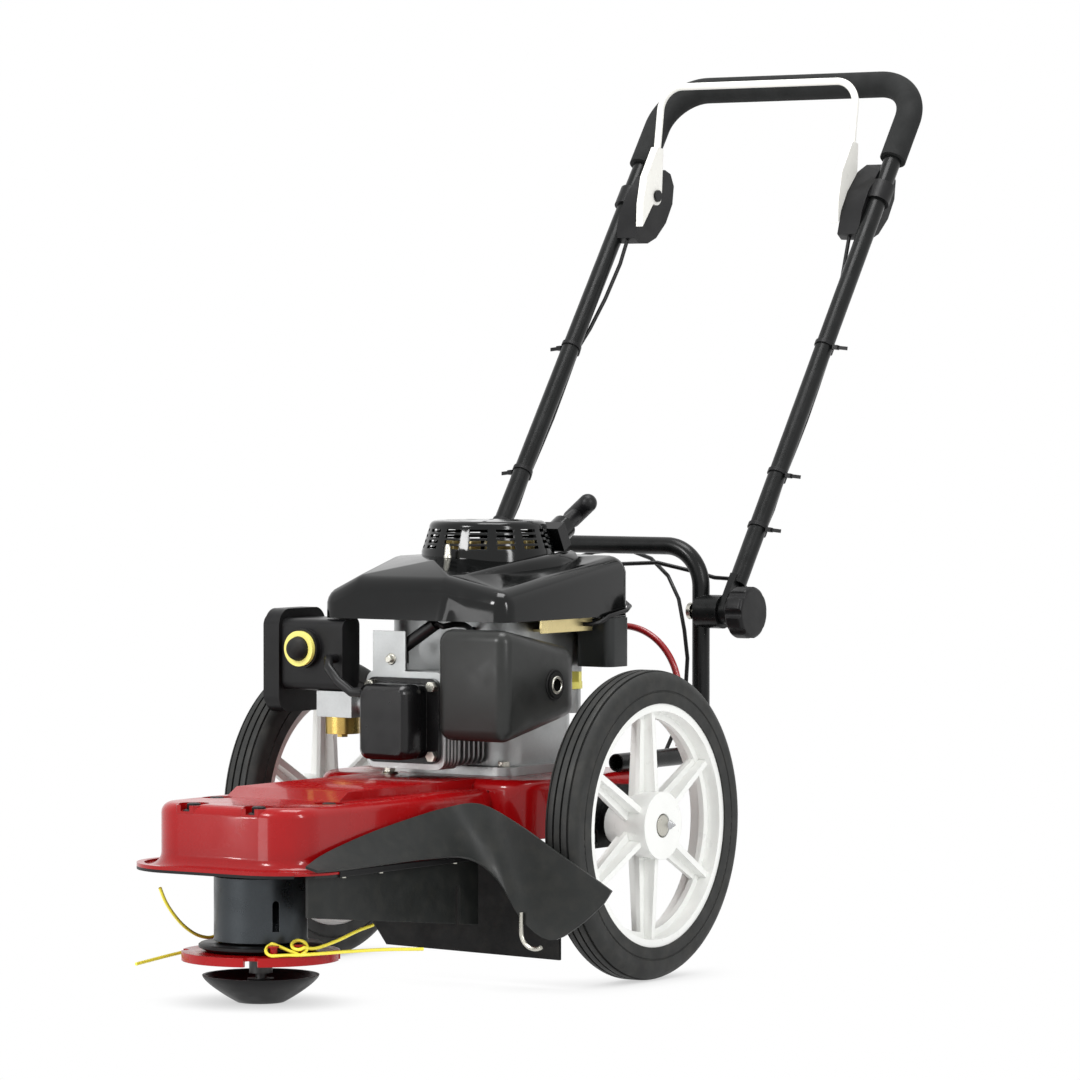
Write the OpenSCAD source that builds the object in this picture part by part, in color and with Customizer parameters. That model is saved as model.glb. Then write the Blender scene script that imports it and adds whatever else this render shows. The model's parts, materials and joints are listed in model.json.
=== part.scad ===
// Wheeled string trimmer: cutting head in front, vertical-shaft engine over the axle, folding handle.
// Millimetres. +Z is up, +X is the operator's left, the head points to -Y.
// The origin is on the ground under the cutting spindle.

/* [Layout] */
// cutting spindle to wheel axle
axle_back = 425; // [405:1:440]
// cutting spindle to engine crankshaft
crank_back = 440; // [430:1:450]
// cutting spindle to handle pivot
pivot_back = 668.5; // [655:0.5:700]
// height of the handle pivot
pivot_h = 412.8; // [400:0.1:430]
// distance between the wheel mid planes
track = 456; // [450:1:480]

/* [Wheels] */
// wheel diameter over the tread
wheel_d = 356; // [340:1:372]
// tyre width
tyre_w = 44; // [40:1:48]
// height of the tyre over the rim
tyre_h = 38; // [30:1:46]
// hub drum diameter
hub_d = 78; // [64:1:90]
// hub length
hub_len = 66; // [58:1:70]
// number of spokes
spoke_n = 6; // [5:1:8]
// axle diameter
axle_d = 16; // [12:0.5:18]

/* [Deck] */
// height of the nose top
deck_top = 222; // [218:1:226]
// rise of the engine platform over the nose
bed_rise = 10; // [8:1:14]
// sheet thickness
sheet_t = 2.5; // [2:0.5:3]
// half width of the nose
nose_half_w = 104; // [102:1:110]
// nose reach in front of the spindle
nose_front = 78; // [76:1:90]
// nose corner radius
nose_r = 50; // [40:1:60]
// rounding of the top edges
edge_r = 12; // [8:1:14]
// width of the flared lip
lip_w = 25; // [23:1:30]
// height of the lip
lip_h = 152.5; // [148:0.5:156]
// half width of the engine platform
bed_half_w = 160; // [158:1:164]
// platform reach in front of the crankshaft
bed_fore = 144; // [138:1:150]
// platform reach behind the crankshaft
bed_aft = 116; // [110:1:126]

/* [Cutting head] */
// glide foot rim diameter
foot_d = 130; // [116:1:140]
// glide foot height
foot_h = 30; // [24:1:31]
// glide foot flat diameter
foot_flat_d = 53; // [44:1:64]
// red disc diameter
disc_d = 176; // [170:1:184]
// underside height of the red disc
disc_h = 53; // [51:0.5:54]
// black flange diameter
flange_d = 138; // [124:1:140]
// wrap guard diameter
guard_d = 104; // [96:1:108]
// cutting line diameter
line_d = 3.9; // [3:0.1:4.2]
// spindle diameter
spindle_d = 17; // [15:0.5:18]

/* [Drive] */
// belt centre height
belt_h = 167.5; // [166:0.5:169]
// belt width
belt_w = 9; // [8:0.5:10]
// belt thickness
belt_t = 8; // [7:0.5:9]
// belt seat diameter on the crankshaft pulley
drive_seat_d = 66; // [60:1:70]
// belt seat diameter on the spindle pulley
head_seat_d = 82; // [76:1:84]
// idler pulley diameter
idler_d = 38; // [34:1:40]
// idler swing from rest to the belt, degrees
idler_swing = 8; // [6:1:9]

/* [Engine] */
// crankshaft diameter
crank_d = 25; // [22:0.5:28]
// half width of the mounting flange
base_half_w = 92; // [88:1:96]
// height of the cylinder axis over the platform
bore_rise = 66; // [62:1:70]
// crankshaft to rocker cover flange
head_reach = 166; // [162:1:170]
// rocker cover depth
rocker_depth = 48; // [40:1:54]
// lower edge of the blower shroud over the platform
cowl_rise = 181; // [178:1:186]
// starter cover diameter
fan_d = 156; // [152:1:162]
// height of the starter cover top over the platform
fan_rise = 292; // [286:1:300]
// starter rope angle over level, degrees
rope_tilt = 28; // [20:1:34]

/* [Handle] */
// tube diameter of the upper handle
handle_d = 22; // [20:0.5:24]
// wall of the tubes
tube_t = 1.6; // [1.2:0.1:2.4]
// distance between the two handle tubes
handle_span = 373.2; // [368:0.2:392]
// handle length from the pivot to the top bar
handle_len = 790; // [740:1:840]
// handle angle over level, degrees
handle_tilt = 55.07; // [50:0.01:60]
// bend radius at the top corners
handle_bend = 58; // [48:1:70]
// foam grip diameter
grip_d = 33; // [29:1:36]
// lower frame tube diameter
frame_d = 21; // [19:0.5:23]
// distance between the lower frame legs
frame_span = 300; // [296:1:304]
// height of the lower frame top bar
frame_top = 490; // [480:1:505]
// knob diameter
knob_d = 62; // [52:1:66]
// bail rod diameter
bail_d = 9; // [7:0.5:10]

/* [Hidden] */
$fn = 48;
// shared fits
cut = 1;
run_gap = 0.05;
seat_gap = 0.1;
gap = 0.4;

// wheel details
wheel_r = wheel_d / 2;
rim_r = wheel_r - tyre_h;
shoulder_r = 14;
groove_w = 2.6;
groove_depth = 3.4;
groove_shares = [-0.31, -0.11, 0.11, 0.31];
sidewall_rib = 1.2;
sidewall_line = 14;
rim_w = 40;
rim_t = 9;
rim_ledge = 8;
rim_ledge_t = 7;
hub_out = 27;
hub_drum = 24;
hub_inner_d = 46;
hub_recess_d = 28;
hub_recess = 7;
spoke_root_w = 27;
spoke_tip_w = 20;
spoke_t = 5.6;
spoke_rib_t = 7;
spoke_rib_root = 19;
spoke_rib_tip = 13;
cap_d = 24;
cap_t = 6.5;
axle_poke = 3;
axle_z = wheel_r;

// deck details
bed_top = deck_top + bed_rise;
bed_front = crank_back - bed_fore;
bed_end = crank_back + bed_aft;
bed_r = 50;
bed_wall_h = 67;
bed_low = bed_top - bed_wall_h;
flare_r = 14;
arc_step = 15;
tunnel_half_w = 78;
tunnel_front = 40;
tunnel_slope = 18;
pocket_r = 17;
pocket_drop = 8;
pocket_floor = deck_top - pocket_drop;
mount_front_x = 45;
mount_front_y = -62;
mount_back_x = 78;
mount_back_y = 22;
mount_places = [[mount_front_x, mount_front_y], [-mount_front_x, mount_front_y],
  [mount_back_x, mount_back_y], [-mount_back_x, mount_back_y]];
mount_bolt_d = 8;
mount_head_af = 13;
mount_head_h = 6;
edging_t = 2.4;
edging_cover = 6;
edging_back = 190;
edging_turn = 45;
crank_hole_d = 60;
engine_bolt_reach = 74;
engine_bolt_d = 8;
engine_head_af = 13;
engine_head_h = 6;
engine_places = [for (sx = [-1, 1], sy = [-1, 1])
  [sx * engine_bolt_reach, sy * engine_bolt_reach]];

// axle brackets and stub axles
bracket_t = 4;
bracket_out = 20;
bracket_half_l = 44;
bracket_low = 150;
bracket_window = 14;
axle_collar_d = 28;
bracket_face = bed_half_w + bracket_out;

// lower frame
frame_bend = 48;
foot_bend = 52;
frame_foot_y_aft = 46;
frame_foot_y = crank_back + frame_foot_y_aft;
frame_r = frame_d / 2;
frame_foot_z = bed_top + frame_r;
hoop_d = 8;
hoop_top = 395;
hoop_bend = 78;
hoop_x = frame_span / 2;
hoop_fore = 48.5;
hoop_y = pivot_back - hoop_fore;
hoop_seat = 1.2;
hoop_low = frame_foot_z + frame_r + hoop_seat;

// shield
shield_t = 3;
skirt_half_w_gap = 15;
skirt_half_w = nose_half_w + skirt_half_w_gap;
skirt_r = 65;
skirt_fore = 60;
skirt_back = 250;
skirt_front_h = 107;
skirt_back_h = 71;
skirt_start_x = 70;
skirt_flange_w = 9;
skirt_flange_x = 110;
skirt_slot_w = 9;
skirt_slot_y = 205;
skirt_slot_low = 74;
skirt_slot_top = 118;
shield_bolt_d = 4;
shield_bolt_x_gap = 19.5;
shield_bolt_x = nose_half_w + shield_bolt_x_gap;
shield_bolt_ys = [-14, 55, 196];
shield_head_af = 7;
shield_head_h = 2.2;
hook_d = 5;
hook_x = 199;
hook_y = 220;
hook_z = 70;
hook_up = 22;
hook_bend = 18;
hook_turn = 120;
apron_t = 4;
apron_low = 31;
apron_top = 192;
apron_belt_top = 146;
apron_belt_half_w = 84;
apron_half_w = 148;
apron_ear_out = bed_half_w - bed_r;
apron_left = 197;
apron_right = 45;
apron_waist = 110;

// cutting head
foot_t = 3.5;
foot_hub_d = 30;
foot_hub_h = 26;
journal_d = 12;
journal_lift = 1;
foot_room = 2;
foot_step = 7.5;
foot_cone = 0.7;
spacer_d = 26;
collar_d = 24;
disc_t = 4;
disc_rim_h = 6;
flange_t = 9;
disc_top = disc_h + disc_t;
flange_top = disc_top + flange_t;
guard_t = 2.5;
guard_lip = 9;
guard_low_gap = 3;
guard_low = flange_top + guard_low_gap;
guard_top = 140;
guard_plate_z = 146;
guard_plate_half = 24;
guard_tab_half = 20;
guard_slot_w = 8;
guard_slot_low = 82;
guard_slot_top = 112;
guard_slot_turn = -34;
guard_hole_d = 34;
guard_flange_top = 186;
post_r_place = 78;
post_turns = [-19.8, -42.3];
post_d = 8;
post_cap_d = 12;
post_h = 12.5;
post_cap_h = 2;
notch_d = 16;
notch_turn = 30;
housing_t = 10;
housing_d = 62;
housing_low = 180;
housing_hub_d = 112;
lug_d = 26;
lug_arm_w = 18;
bearing_d = 40;
bearing_w = 12;
bearing_gap = 2;
housing_top = pocket_floor - sheet_t;
spindle_top_drop = 4;
spindle_top = housing_top - spindle_top_drop;
line_r = line_d / 2;

// drive
pulley_rim = 9.5;
pulley_wall = 4;
pulley_hub_d = 40;
pulley_hub_l = 4;
idler_back_fore = 130;
idler_back = crank_back - idler_back_fore;
idler_arm_len = 80;
idler_arm_w = 22;
idler_arm_t = 4;
idler_pin_d = 10;
idler_pivot_d = 12;
idler_pivot_y = idler_back;
idler_h = 14;
idler_low = belt_h - idler_h / 2;
idler_gap = 0.6;
idler_x = (idler_pivot_y - idler_arm_len) * (head_seat_d - drive_seat_d) / (2 * crank_back)
  - head_seat_d / 2 - belt_t - idler_d / 2 - idler_gap;
pin_shoulder_d = 18;
pin_head_t = 3;
idler_arm_z_gap = 12;
idler_arm_z = belt_h + idler_arm_z_gap;

// engine
engine_z = bed_top;
bore_z = bore_rise;
base_t = 10;
base_r = 22;
sump_half_w = 78;
sump_fore = 76;
sump_aft = 80;
sump_r = 36;
sump_top = 103;
blower_half_w = 92;
blower_fore = 92;
blower_aft = 92;
blower_r = 46;
blower_t = 8;
blower_wall = 4;
ear_d = 14;
ear_in = 8;
ear_y = 40;
cowl_low = cowl_rise;
barrel_d = 84;
fin_n = 6;
fin_t = 3;
fin_half_w = 54;
fin_half_h = 54;
fin_r = 12;
fin_step = 9.5;
head_fin_n = 5;
head_t = 30;
head_half_w = 55;
head_half_h = 56;
head_y = -head_reach;
barrel_front = head_y + head_t;
rocker_half_w = 34;
rocker_half_h = 43;
rocker_r = 12;
rocker_flange_t = 6;
rocker_flange_half_w = 51;
rocker_flange_half_h = 49;
rocker_bolt_x = 43;
rocker_bolt_h = 40;
rocker_bolt_d = 7;
rocker_head_af = 11;
rocker_head_h = 6;
can_in_gap = 5;
can_in = head_half_w + can_in_gap;
can_out = 158;
can_front = -193;
can_back = -34;
can_step = -100;
can_waist_gap = 5;
can_waist = blower_half_w + can_waist_gap;
can_low = 46;
can_top = 173;
can_r = 16;
can_tail_r = 34;
can_lift = 22;
can_step_lift = 14;
outlet_d = 18;
outlet_ring_d = 29;
outlet_ring_t = 3;
outlet_y = -93.5;
outlet_z = 108;
outlet_depth = 20;
port_half = 18;
air_in = -84;
air_split = -172;
air_out = -200;
air_front = -174;
air_back = -94;
air_mid = -143;
air_deep = 54;
air_low = 96;
air_top = 179;
air_r = 10;
lid_front = -179;
lid_back = -88;
lid_low = 69;
lid_top = 190;
lid_r = 20;
lid_step = 7;
primer_x = -138;
primer_z = 145;
primer_d = 28;
primer_boss_d = 46;
primer_boss_t = 8;
primer_ring_d = 41;
primer_ring_t = 5;
primer_stem = 8;
primer_deep = 8;
carb_in = -74;
carb_out = -124;
carb_y_gap = 18;
carb_y = head_y + carb_y_gap;
carb_half = 22;
carb_low = 66;
bowl_d = 40;
bowl_h = 24;
bowl_x = -103;
bowl_nut = 4;
intake_d = 24;
carb_shift = 2;
carb_port = 15;
plug_x = -16;
plug_y_gap = 13;
plug_y = head_y + plug_y_gap;
plug_d = 14;
plug_hex_af = 16;
plug_hex_h = 8;
plug_len = 20;
boot_d = 19;
boot_len = 16;
boot_arm = 58;
boot_arm_d = 15;
boot_lean = 58;
lead_d = 7;
hose_d = 11;
head_plate_t = 2.5;
head_plate_w = 46;
head_plate_h = 46;
fan_r = fan_d / 2;
fan_low = 204;
fan_top = fan_rise;
fan_wall = 4;
fan_neck_drop = 36;
fan_neck = fan_top - fan_neck_drop;
slat_base = 4;
fan_round = 8;
fan_draft = 9;
slat_n = 14;
slat_rows = 4;
slat_h = 3.6;
slat_step = 6.4;
slat_turn_share = 0.62;
top_slot_n = 12;
top_slot_w = 5;
top_slot_in = 34;
top_slot_out = 60;
rope_x = 60;
rope_y = 70;
rope_z = 284;
grip_stem_d = 20;
grip_stem_l = 38;
grip_bar_d = 22;
grip_bar_l = 58;
grip_turn = -36;
guide_d = 30;
guide_l = 16;
guide_bore = 30;
grip_neck_share = 0.7;
rope_d = 5;
tank_in = 97;
tank_out = 148;
tank_fore = 36;
tank_aft = 148;
tank_right = -70;
tank_low = 122;
tank_top_drop = 2;
tank_top = cowl_low - tank_top_drop;
tank_r = 11;
tank_mid = 80;
tank_neck = 120;
tank_left = 100;
tank_side = 120;
tank_split_gap = 4;
tank_split = blower_aft + tank_split_gap;
neck_x = 20;
neck_y = 122;
neck_d = 34;
neck_h = 14;
cap_fuel_d = 48;
cap_fuel_h = 18;
cap_rib = 1.5;
cap_rib_n = 16;
oil_x = 112;
oil_y = 5;
oil_low = 70;
oil_top = 98;
oil_d = 26;
dip_d = 6;
dip_len = 24;
dip_cap_d = 30;
dip_cap_h = 8;
dip_tab_h = 16;
plate_t = 3;
plate_out = 127;
plate_front = -74;
plate_back = 30;
plate_low = 165;
plate_flat = -40;
plate_h = 16;
flywheel_d = 150;
flywheel_low_gap = 6;
flywheel_low = sump_top + blower_t + flywheel_low_gap;
flywheel_t = 18;
vane_n = 12;
vane_h = 20;
vane_w = 4;
vane_in = 40;
crank_low = 150;
crank_top_gap = 46;
crank_top = flywheel_low + crank_top_gap;

// handle
handle_r = handle_d / 2;
handle_x = handle_span / 2;
flat_t = 8;
flat_w = 30;
flat_up = 46;
pivot_bolt_d = 8;
spacer_bracket_d = 40;
knob_t = 24;
knob_hub_d = 30;
knob_hub_l = 10;
knob_lobe_n = 8;
knob_lobe_d = 14;
knob_edge = 5;
knob_bolt_in = 12;
bolt_head_d = 20;
bolt_head_t = 5;
bolt_reach = handle_x + flat_t / 2 + gap + knob_hub_l + knob_bolt_in;
grip_tail = 62;
lever_drop = 238;
lever_l = 116;
lever_low = handle_len - lever_drop;
lever_top = lever_low + lever_l;
lever_in = 150;
lever_out = 180;
lever_mid = -12;
lever_half = 30;
lever_deep = 14;
lever_band = 30;
lever_band_up = 52;
lever_band_low = lever_low + lever_band_up;
lever_band_w = 26;
lever_shares = [[0, 0.2], [0.1, -0.35], [0.25, -0.75], [0.5, -1], [0.75, -0.95], [0.93, -0.6], [1, -0.1],
  [0.97, 0.35], [0.8, 0.75], [0.5, 0.95], [0.25, 0.9], [0, 0.6]];
bail_up = 64;
bail_pivot_y = lever_low + bail_up;
bail_pivot_z = 8;
bail_pin_d = 9;
bail_far = 190;
bail_bar_y = lever_low + bail_far;
bail_bar_z = 70;
bail_bend = 30;
blade_t = 10;
blade_w = 24;
blade_l = 62;
bail_blade_h = 26;
bail_blade_low = 44;
bail_blade_w = 13;
bail_gap = 0.4;
bail_head_t = 3;
cable_d = 5;
cable_off_gap = 3.2;
cable_off = -handle_r - cable_off_gap;
tie_t = 1.6;
tie_w = 5;
tie_places = [118, 196, 385];

// wing of the shield, as shares of its reach, length and rise
wing_reach = 210;
wing_len = 320;
wing_low = 60;
wing_rise = 155;
wing_cols = 6;
wing_steps = 4;
wing_shares = [
  [0.057, 0.019, 0.645, 0.110, 0.038, 0.616],
  [0.029, 0.150, 0.716, 0.129, 0.169, 0.610],
  [0.021, 0.384, 0.813, 0.138, 0.400, 0.613],
  [0.021, 0.634, 0.890, 0.162, 0.650, 0.619],
  [0.043, 0.853, 0.948, 0.210, 0.838, 0.594],
  [0.171, 0.944, 0.974, 0.314, 0.913, 0.439],
  [0.386, 0.966, 0.845, 0.438, 0.944, 0.155],
  [0.671, 0.969, 0.632, 0.610, 0.956, 0.013],
  [0.886, 0.969, 0.477, 0.781, 0.963, 0.116],
  [0.995, 0.969, 0.394, 0.948, 0.969, 0.303]];

// blower shroud corners
cowl_t = 3;
cowl_round = 22;
cowl_tall = 120;
cowl_left = 120;
cowl_right = -98;
cowl_fore = 148;
cowl_aft = 72;
cowl_front_h = 37;
cowl_rear_h = 70;
crown_fore = 108;
crown_front_h = 68;
crown_h = 76;
shoulder_x = 66;
shoulder_h = 52;
brow_x = 48;
side_x = 80;
side_fore = 60;
cowl_front_y = -cowl_fore;
cowl_rear_y = cowl_aft;
cowl_tops = [[cowl_left, cowl_front_y, cowl_low + cowl_front_h],
  [cowl_right, cowl_front_y, cowl_low + cowl_front_h],
  [cowl_left, cowl_rear_y, cowl_low + cowl_rear_h],
  [cowl_right, cowl_rear_y, cowl_low + cowl_rear_h]];
cowl_crown = [[0, -crown_fore, cowl_low + crown_front_h], [0, 0, cowl_low + crown_h],
  [-shoulder_x, cowl_front_y, cowl_low + shoulder_h], [brow_x, cowl_front_y, cowl_low + shoulder_h],
  [-side_x, -side_fore, cowl_low + cowl_rear_h]];

// moulded arch that sweeps up the shroud to the starter, in the engine's frame
arch_points = [[57, -154, 168], [57, -154, 181], [57, -152, 202], [58, -138, 210], [61, -122, 218],
  [70, -92, 227], [85, -54, 235], [98, -10, 242], [93, 32, 246], [86, 50, 242], [83, 60, 237]];
arch_rs = [21, 21, 21, 20, 18, 15, 14, 13, 12, 10, 4];
arch_sides = 16;
hose_sides = 10;

// cutting line
line_sides = 8;
loop_r = 6.5;
loop_z = 59.3;
loop_climb = 5;
loop_steps = 17;
wrap_steps = 9;
loop_in = -17;
loop_out = -416.2;
wrap_in = 123.8;
wrap_out = 320.5;
line_tip_c = [[103, 70, 85], [97, 50, 80], [91, 24, 72], [86, 0, 66.4], [83, -14, 64.7]];
line_tip_d = [[72, -45, 59.4], [83, -34, 59.6], [91, -15, 59.6], [104, 14, 60], [126, 58, 60],
  [148, 102, 58]];
line_tip_a = [[-92, -63, 126], [-93, -52, 110], [-92, -38, 94], [-90, -22, 80],
  [-87, -4, 69.5], [-83, 13, 65]];
line_tip_b = [[-72, 45, 59.4], [-83, 34, 59.6], [-91, 15, 59.6], [-103, -14, 59],
  [-111, -46, 52], [-114, -78, 42]];

// routes of the control cables and the spark plug lead
cable_upper_points = [[-22, 551.2, 14.2], [-20, 520, 8], [-14, 470, 3], [-6, 425, 0], [0, 398, 0],
  [0, 378, 0], [0, 330, -2], [0, 290, -3], [0, 250, -2], [0, 208, 0], [0, 190, 0], [0, 157, -2], [0, 130, 0],
  [0, 112, 0], [-4, 92, -3], [-12, 80, -6], [-20, 70, -9]];
cable_left_points = [[165.3, 727.1, 455.9], [156, 724, 450], [135, 722, 451], [111, 720, 457], [62, 708, 468],
  [20, 692, 466], [2, 668, 456], [15, 640, 448], [60, 608, 440], [105, 565, 430], [136, 536, 423],
  [147, 512, 419], [147, 490, 416], [146.5, 476, 413.8], [145, 466, 409], [142, 459, 406],
  [136, 453, 405], [127.4, 452, 405]];
cable_right_points = [[-165.3, 727.1, 455.9], [-156, 726, 450], [-135, 730, 452], [-100, 737, 464],
  [-50, 740, 478], [0, 737, 482], [40, 728, 472], [75, 712, 452], [98, 700, 425], [110, 694, 388],
  [117, 690, 355], [121, 680, 320], [121, 662, 278], [119, 634, 240], [116, 600, 212],
  [113, 572, 200], [112, 556.4, 198]];
lead_points = [[42, -150, 174], [50, -140, 176.5], [52, -122, 175], [48, -107, 171], [44, -99, 168],
  [44, -92.4, 168]];
hose_points = [[-95, -174.4, 134], [-95, -186, 134], [-86, -198, 125], [-68, -203, 110], [-50, -202, 98],
  [-34.4, -202, 98]];

// colours
red = [0.72, 0.08, 0.06];
black = [0.07, 0.07, 0.07];
dark = [0.17, 0.17, 0.17];
grey = [0.55, 0.56, 0.58];
silver = [0.75, 0.76, 0.78];
white = [0.93, 0.93, 0.91];
yellow = [0.95, 0.83, 0.1];
brass = [0.8, 0.66, 0.34];

function arc_pts(cx, cy, r, a0, a1, n) =
  [for (i = [0:n]) let (a = a0 + (a1 - a0) * i / n) [cx + r * cos(a), cy + r * sin(a)]];
function flip(l) = [for (i = [len(l) - 1:-1:0]) l[i]];
function unit(v) = v / norm(v);
arc_n = round(90 / arc_step);

module ring2d(d, t) {
  difference() {
    circle(d = d);
    circle(d = d - 2 * t);
  }
}

module rrect(x0, x1, y0, y1, r) {
  translate([x0 + r, y0]) square([x1 - x0 - 2 * r, y1 - y0]);
  translate([x0, y0 + r]) square([x1 - x0, y1 - y0 - 2 * r]);
  for (x = [x0 + r, x1 - r], y = [y0 + r, y1 - r]) {
    translate([x, y]) circle(r);
  }
}

module rod_x(x0, x1, y, z, d) {
  translate([x0, y, z]) rotate([0, 90, 0]) cylinder(h = x1 - x0, d = d);
}

// a round hole cut past both ends
module hole(p, h, d) {
  translate([p[0], p[1], p[2] - cut]) cylinder(h = h + 2 * cut, d = d);
}

// a bolt through a grip from z0 to z1, with a head and a nut
module bolt(x, y, z0, z1, d, af, h) {
  translate([x, y, z0 - h]) cylinder(h = z1 - z0 + 2 * h, d = d);
  for (z = [z0 - h, z1]) {
    hex_bolt(x, y, z, af, h);
  }
}

module hex_bolt(x, y, z, af, h) {
  translate([x, y, z]) cylinder(h = h, d = af / cos(30), $fn = 6);
}

// a round tube swept through the points of a route
function route_dir(p, i) =
  unit(p[min(i + 1, len(p) - 1)] - p[max(i - 1, 0)]);
function route_side(p, i, up) = unit(cross(route_dir(p, i), up));
module swept(p, r, sides, up) {
  n = len(p);
  pts = [for (i = [0:n - 1])
    let (t = route_dir(p, i), s = route_side(p, i, up), b = cross(t, s))
      for (k = [0:sides - 1])
        let (a = 360 * k / sides) p[i] + (is_list(r) ? r[i] : r) * (cos(a) * s + sin(a) * b)];
  faces = concat(
    [[for (k = [0:sides - 1]) k]],
    [for (i = [0:n - 2], k = [0:sides - 1], h = [1, 2])
      let (a = i * sides, b = a + sides, k2 = (k + 1) % sides, q = [a + k, b + k, b + k2, a + k2])
        [q[0], q[h], q[h + 1]]],
    [[for (k = [sides - 1:-1:0]) (n - 1) * sides + k]]);
  polyhedron(pts, faces);
}

// a thin sheet over a grid of points
function grid_normal(g, i, j) =
  let (m = len(g) - 1, n = len(g[0]) - 1)
    unit(cross(g[min(i + 1, m)][j] - g[max(i - 1, 0)][j], g[i][min(j + 1, n)] - g[i][max(j - 1, 0)]));
module sheet(g, t) {
  m = len(g);
  n = len(g[0]);
  k = m * n;
  pts = [for (s = [1, -1], i = [0:m - 1], j = [0:n - 1]) g[i][j] + s * grid_normal(g, i, j) * t / 2];
  quads = concat(
    [for (i = [0:m - 2], j = [0:n - 2]) let (a = i * n + j) [a, a + 1, a + n + 1, a + n]],
    [for (i = [0:m - 2], j = [0:n - 2]) let (a = k + i * n + j) [a, a + n, a + n + 1, a + 1]],
    [for (i = [0:m - 2]) let (a = i * n) [a, a + n, k + a + n, k + a]],
    [for (i = [0:m - 2]) let (a = i * n + n - 1) [a, k + a, k + a + n, a + n]],
    [for (j = [0:n - 2]) [j, k + j, k + j + 1, j + 1]],
    [for (j = [0:n - 2]) let (a = (m - 1) * n + j) [a, a + 1, k + a + 1, k + a]]);
  polyhedron(pts, [for (q = quads, h = [1, 2]) [q[0], q[h], q[h + 1]]]);
}
function bend4(a, b, c, d, t) =
  0.5 * (2 * b + (c - a) * t + (2 * a - 5 * b + 4 * c - d) * t * t + (3 * b - a - 3 * c + d) * t * t * t);
function smooth_rows(rows, steps) = concat(
  [for (i = [0:len(rows) - 2], s = [0:steps - 1]) let (a = rows[max(i - 1, 0)], b = rows[i],
    c = rows[i + 1], d = rows[min(i + 2, len(rows) - 1)], t = s / steps)
      [for (j = [0:len(b) - 1]) bend4(a[j], b[j], c[j], d[j], t)]],
  [rows[len(rows) - 1]]);

// wheels
module at_wheel(side) {
  translate([side * track / 2, axle_back, axle_z]) rotate([0, side * 90, 0]) children();
}

module tyre() {
  color(black) rotate_extrude() {
    difference() {
      union() {
        translate([rim_r, -tyre_w / 2]) square([wheel_r - shoulder_r - rim_r, tyre_w]);
        translate([rim_r, -(tyre_w / 2 - shoulder_r)])
          square([wheel_r - rim_r, tyre_w - 2 * shoulder_r]);
        for (s = [-1, 1]) {
          translate([wheel_r - shoulder_r, s * (tyre_w / 2 - shoulder_r)]) circle(shoulder_r);
        }
      }
      for (g = groove_shares) {
        translate([wheel_r - groove_depth, g * tyre_w - groove_w / 2])
          square([groove_depth + cut, groove_w]);
      }
      for (s = [-1, 1]) {
        translate([rim_r + sidewall_line, s * tyre_w / 2]) circle(r = sidewall_rib);
      }
    }
  }
}

module rim() {
  ring_in = rim_r - rim_t;
  color(white) difference() {
    union() {
      rotate_extrude() {
        translate([ring_in, -rim_w / 2]) square([rim_t - run_gap, rim_w]);
        translate([ring_in - rim_ledge, -rim_ledge_t / 2]) square([rim_ledge + rim_t / 2, rim_ledge_t]);
      }
      translate([0, 0, hub_out - hub_drum]) cylinder(h = hub_drum, d = hub_d);
      translate([0, 0, hub_out - hub_len])
        cylinder(h = hub_len - hub_drum, d1 = hub_inner_d, d2 = hub_d);
      for (i = [0:spoke_n - 1]) {
        rotate([0, 0, i * 360 / spoke_n]) spoke(ring_in + rim_t / 2);
      }
    }
    hole([0, 0, hub_out - hub_len], hub_len, axle_d + 2 * run_gap);
    translate([0, 0, hub_out - hub_recess]) cylinder(h = hub_recess + cut, d = hub_recess_d);
  }
}

module spoke(reach) {
  root = hub_inner_d / 2;
  translate([0, 0, -spoke_t / 2]) linear_extrude(spoke_t) polygon([[root, -spoke_root_w / 2],
    [reach, -spoke_tip_w / 2], [reach, spoke_tip_w / 2], [root, spoke_root_w / 2]]);
  translate([0, spoke_rib_t / 2, 0]) rotate([90, 0, 0]) linear_extrude(spoke_rib_t)
    polygon([[root, -spoke_rib_root], [reach, -spoke_rib_tip], [reach, spoke_rib_tip],
      [root, spoke_rib_root]]);
}

module left_tyre() { at_wheel(1) tyre(); }
module right_tyre() { at_wheel(-1) tyre(); }
module left_rim() { at_wheel(1) rim(); }
module right_rim() { at_wheel(-1) rim(); }

// deck
module nose_section() {
  polygon(concat(arc_pts(-edge_r, deck_top - edge_r, edge_r, 90, 0, arc_n),
    arc_pts(flare_r, lip_h + flare_r, flare_r, 180, 270, arc_n),
    [[lip_w, lip_h], [lip_w, lip_h - sheet_t]],
    flip(arc_pts(flare_r, lip_h + flare_r, flare_r + sheet_t, 180, 270, arc_n)),
    flip(arc_pts(-edge_r, deck_top - edge_r, edge_r - sheet_t, 90, 0, arc_n))));
}

module bed_section() {
  polygon(concat(arc_pts(-edge_r, bed_top - edge_r, edge_r, 90, 0, arc_n),
    [[0, bed_low], [-sheet_t, bed_low]],
    flip(arc_pts(-edge_r, bed_top - edge_r, edge_r - sheet_t, 90, 0, arc_n))));
}

module side_run(x, y0, y1) {
  translate([x, y1, 0]) rotate([90, 0, 0]) linear_extrude(y1 - y0) children();
}
module front_run(y, half) {
  translate([-half, y, 0]) rotate([90, 0, 90]) linear_extrude(2 * half) mirror([1, 0]) children();
}
module back_run(y, half) {
  translate([-half, y, 0]) rotate([90, 0, 90]) linear_extrude(2 * half) children();
}
module corner_run(x, y, r, start, turn) {
  translate([x, y, 0]) rotate([0, 0, start]) rotate_extrude(angle = turn) translate([r, 0]) children();
}

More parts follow.
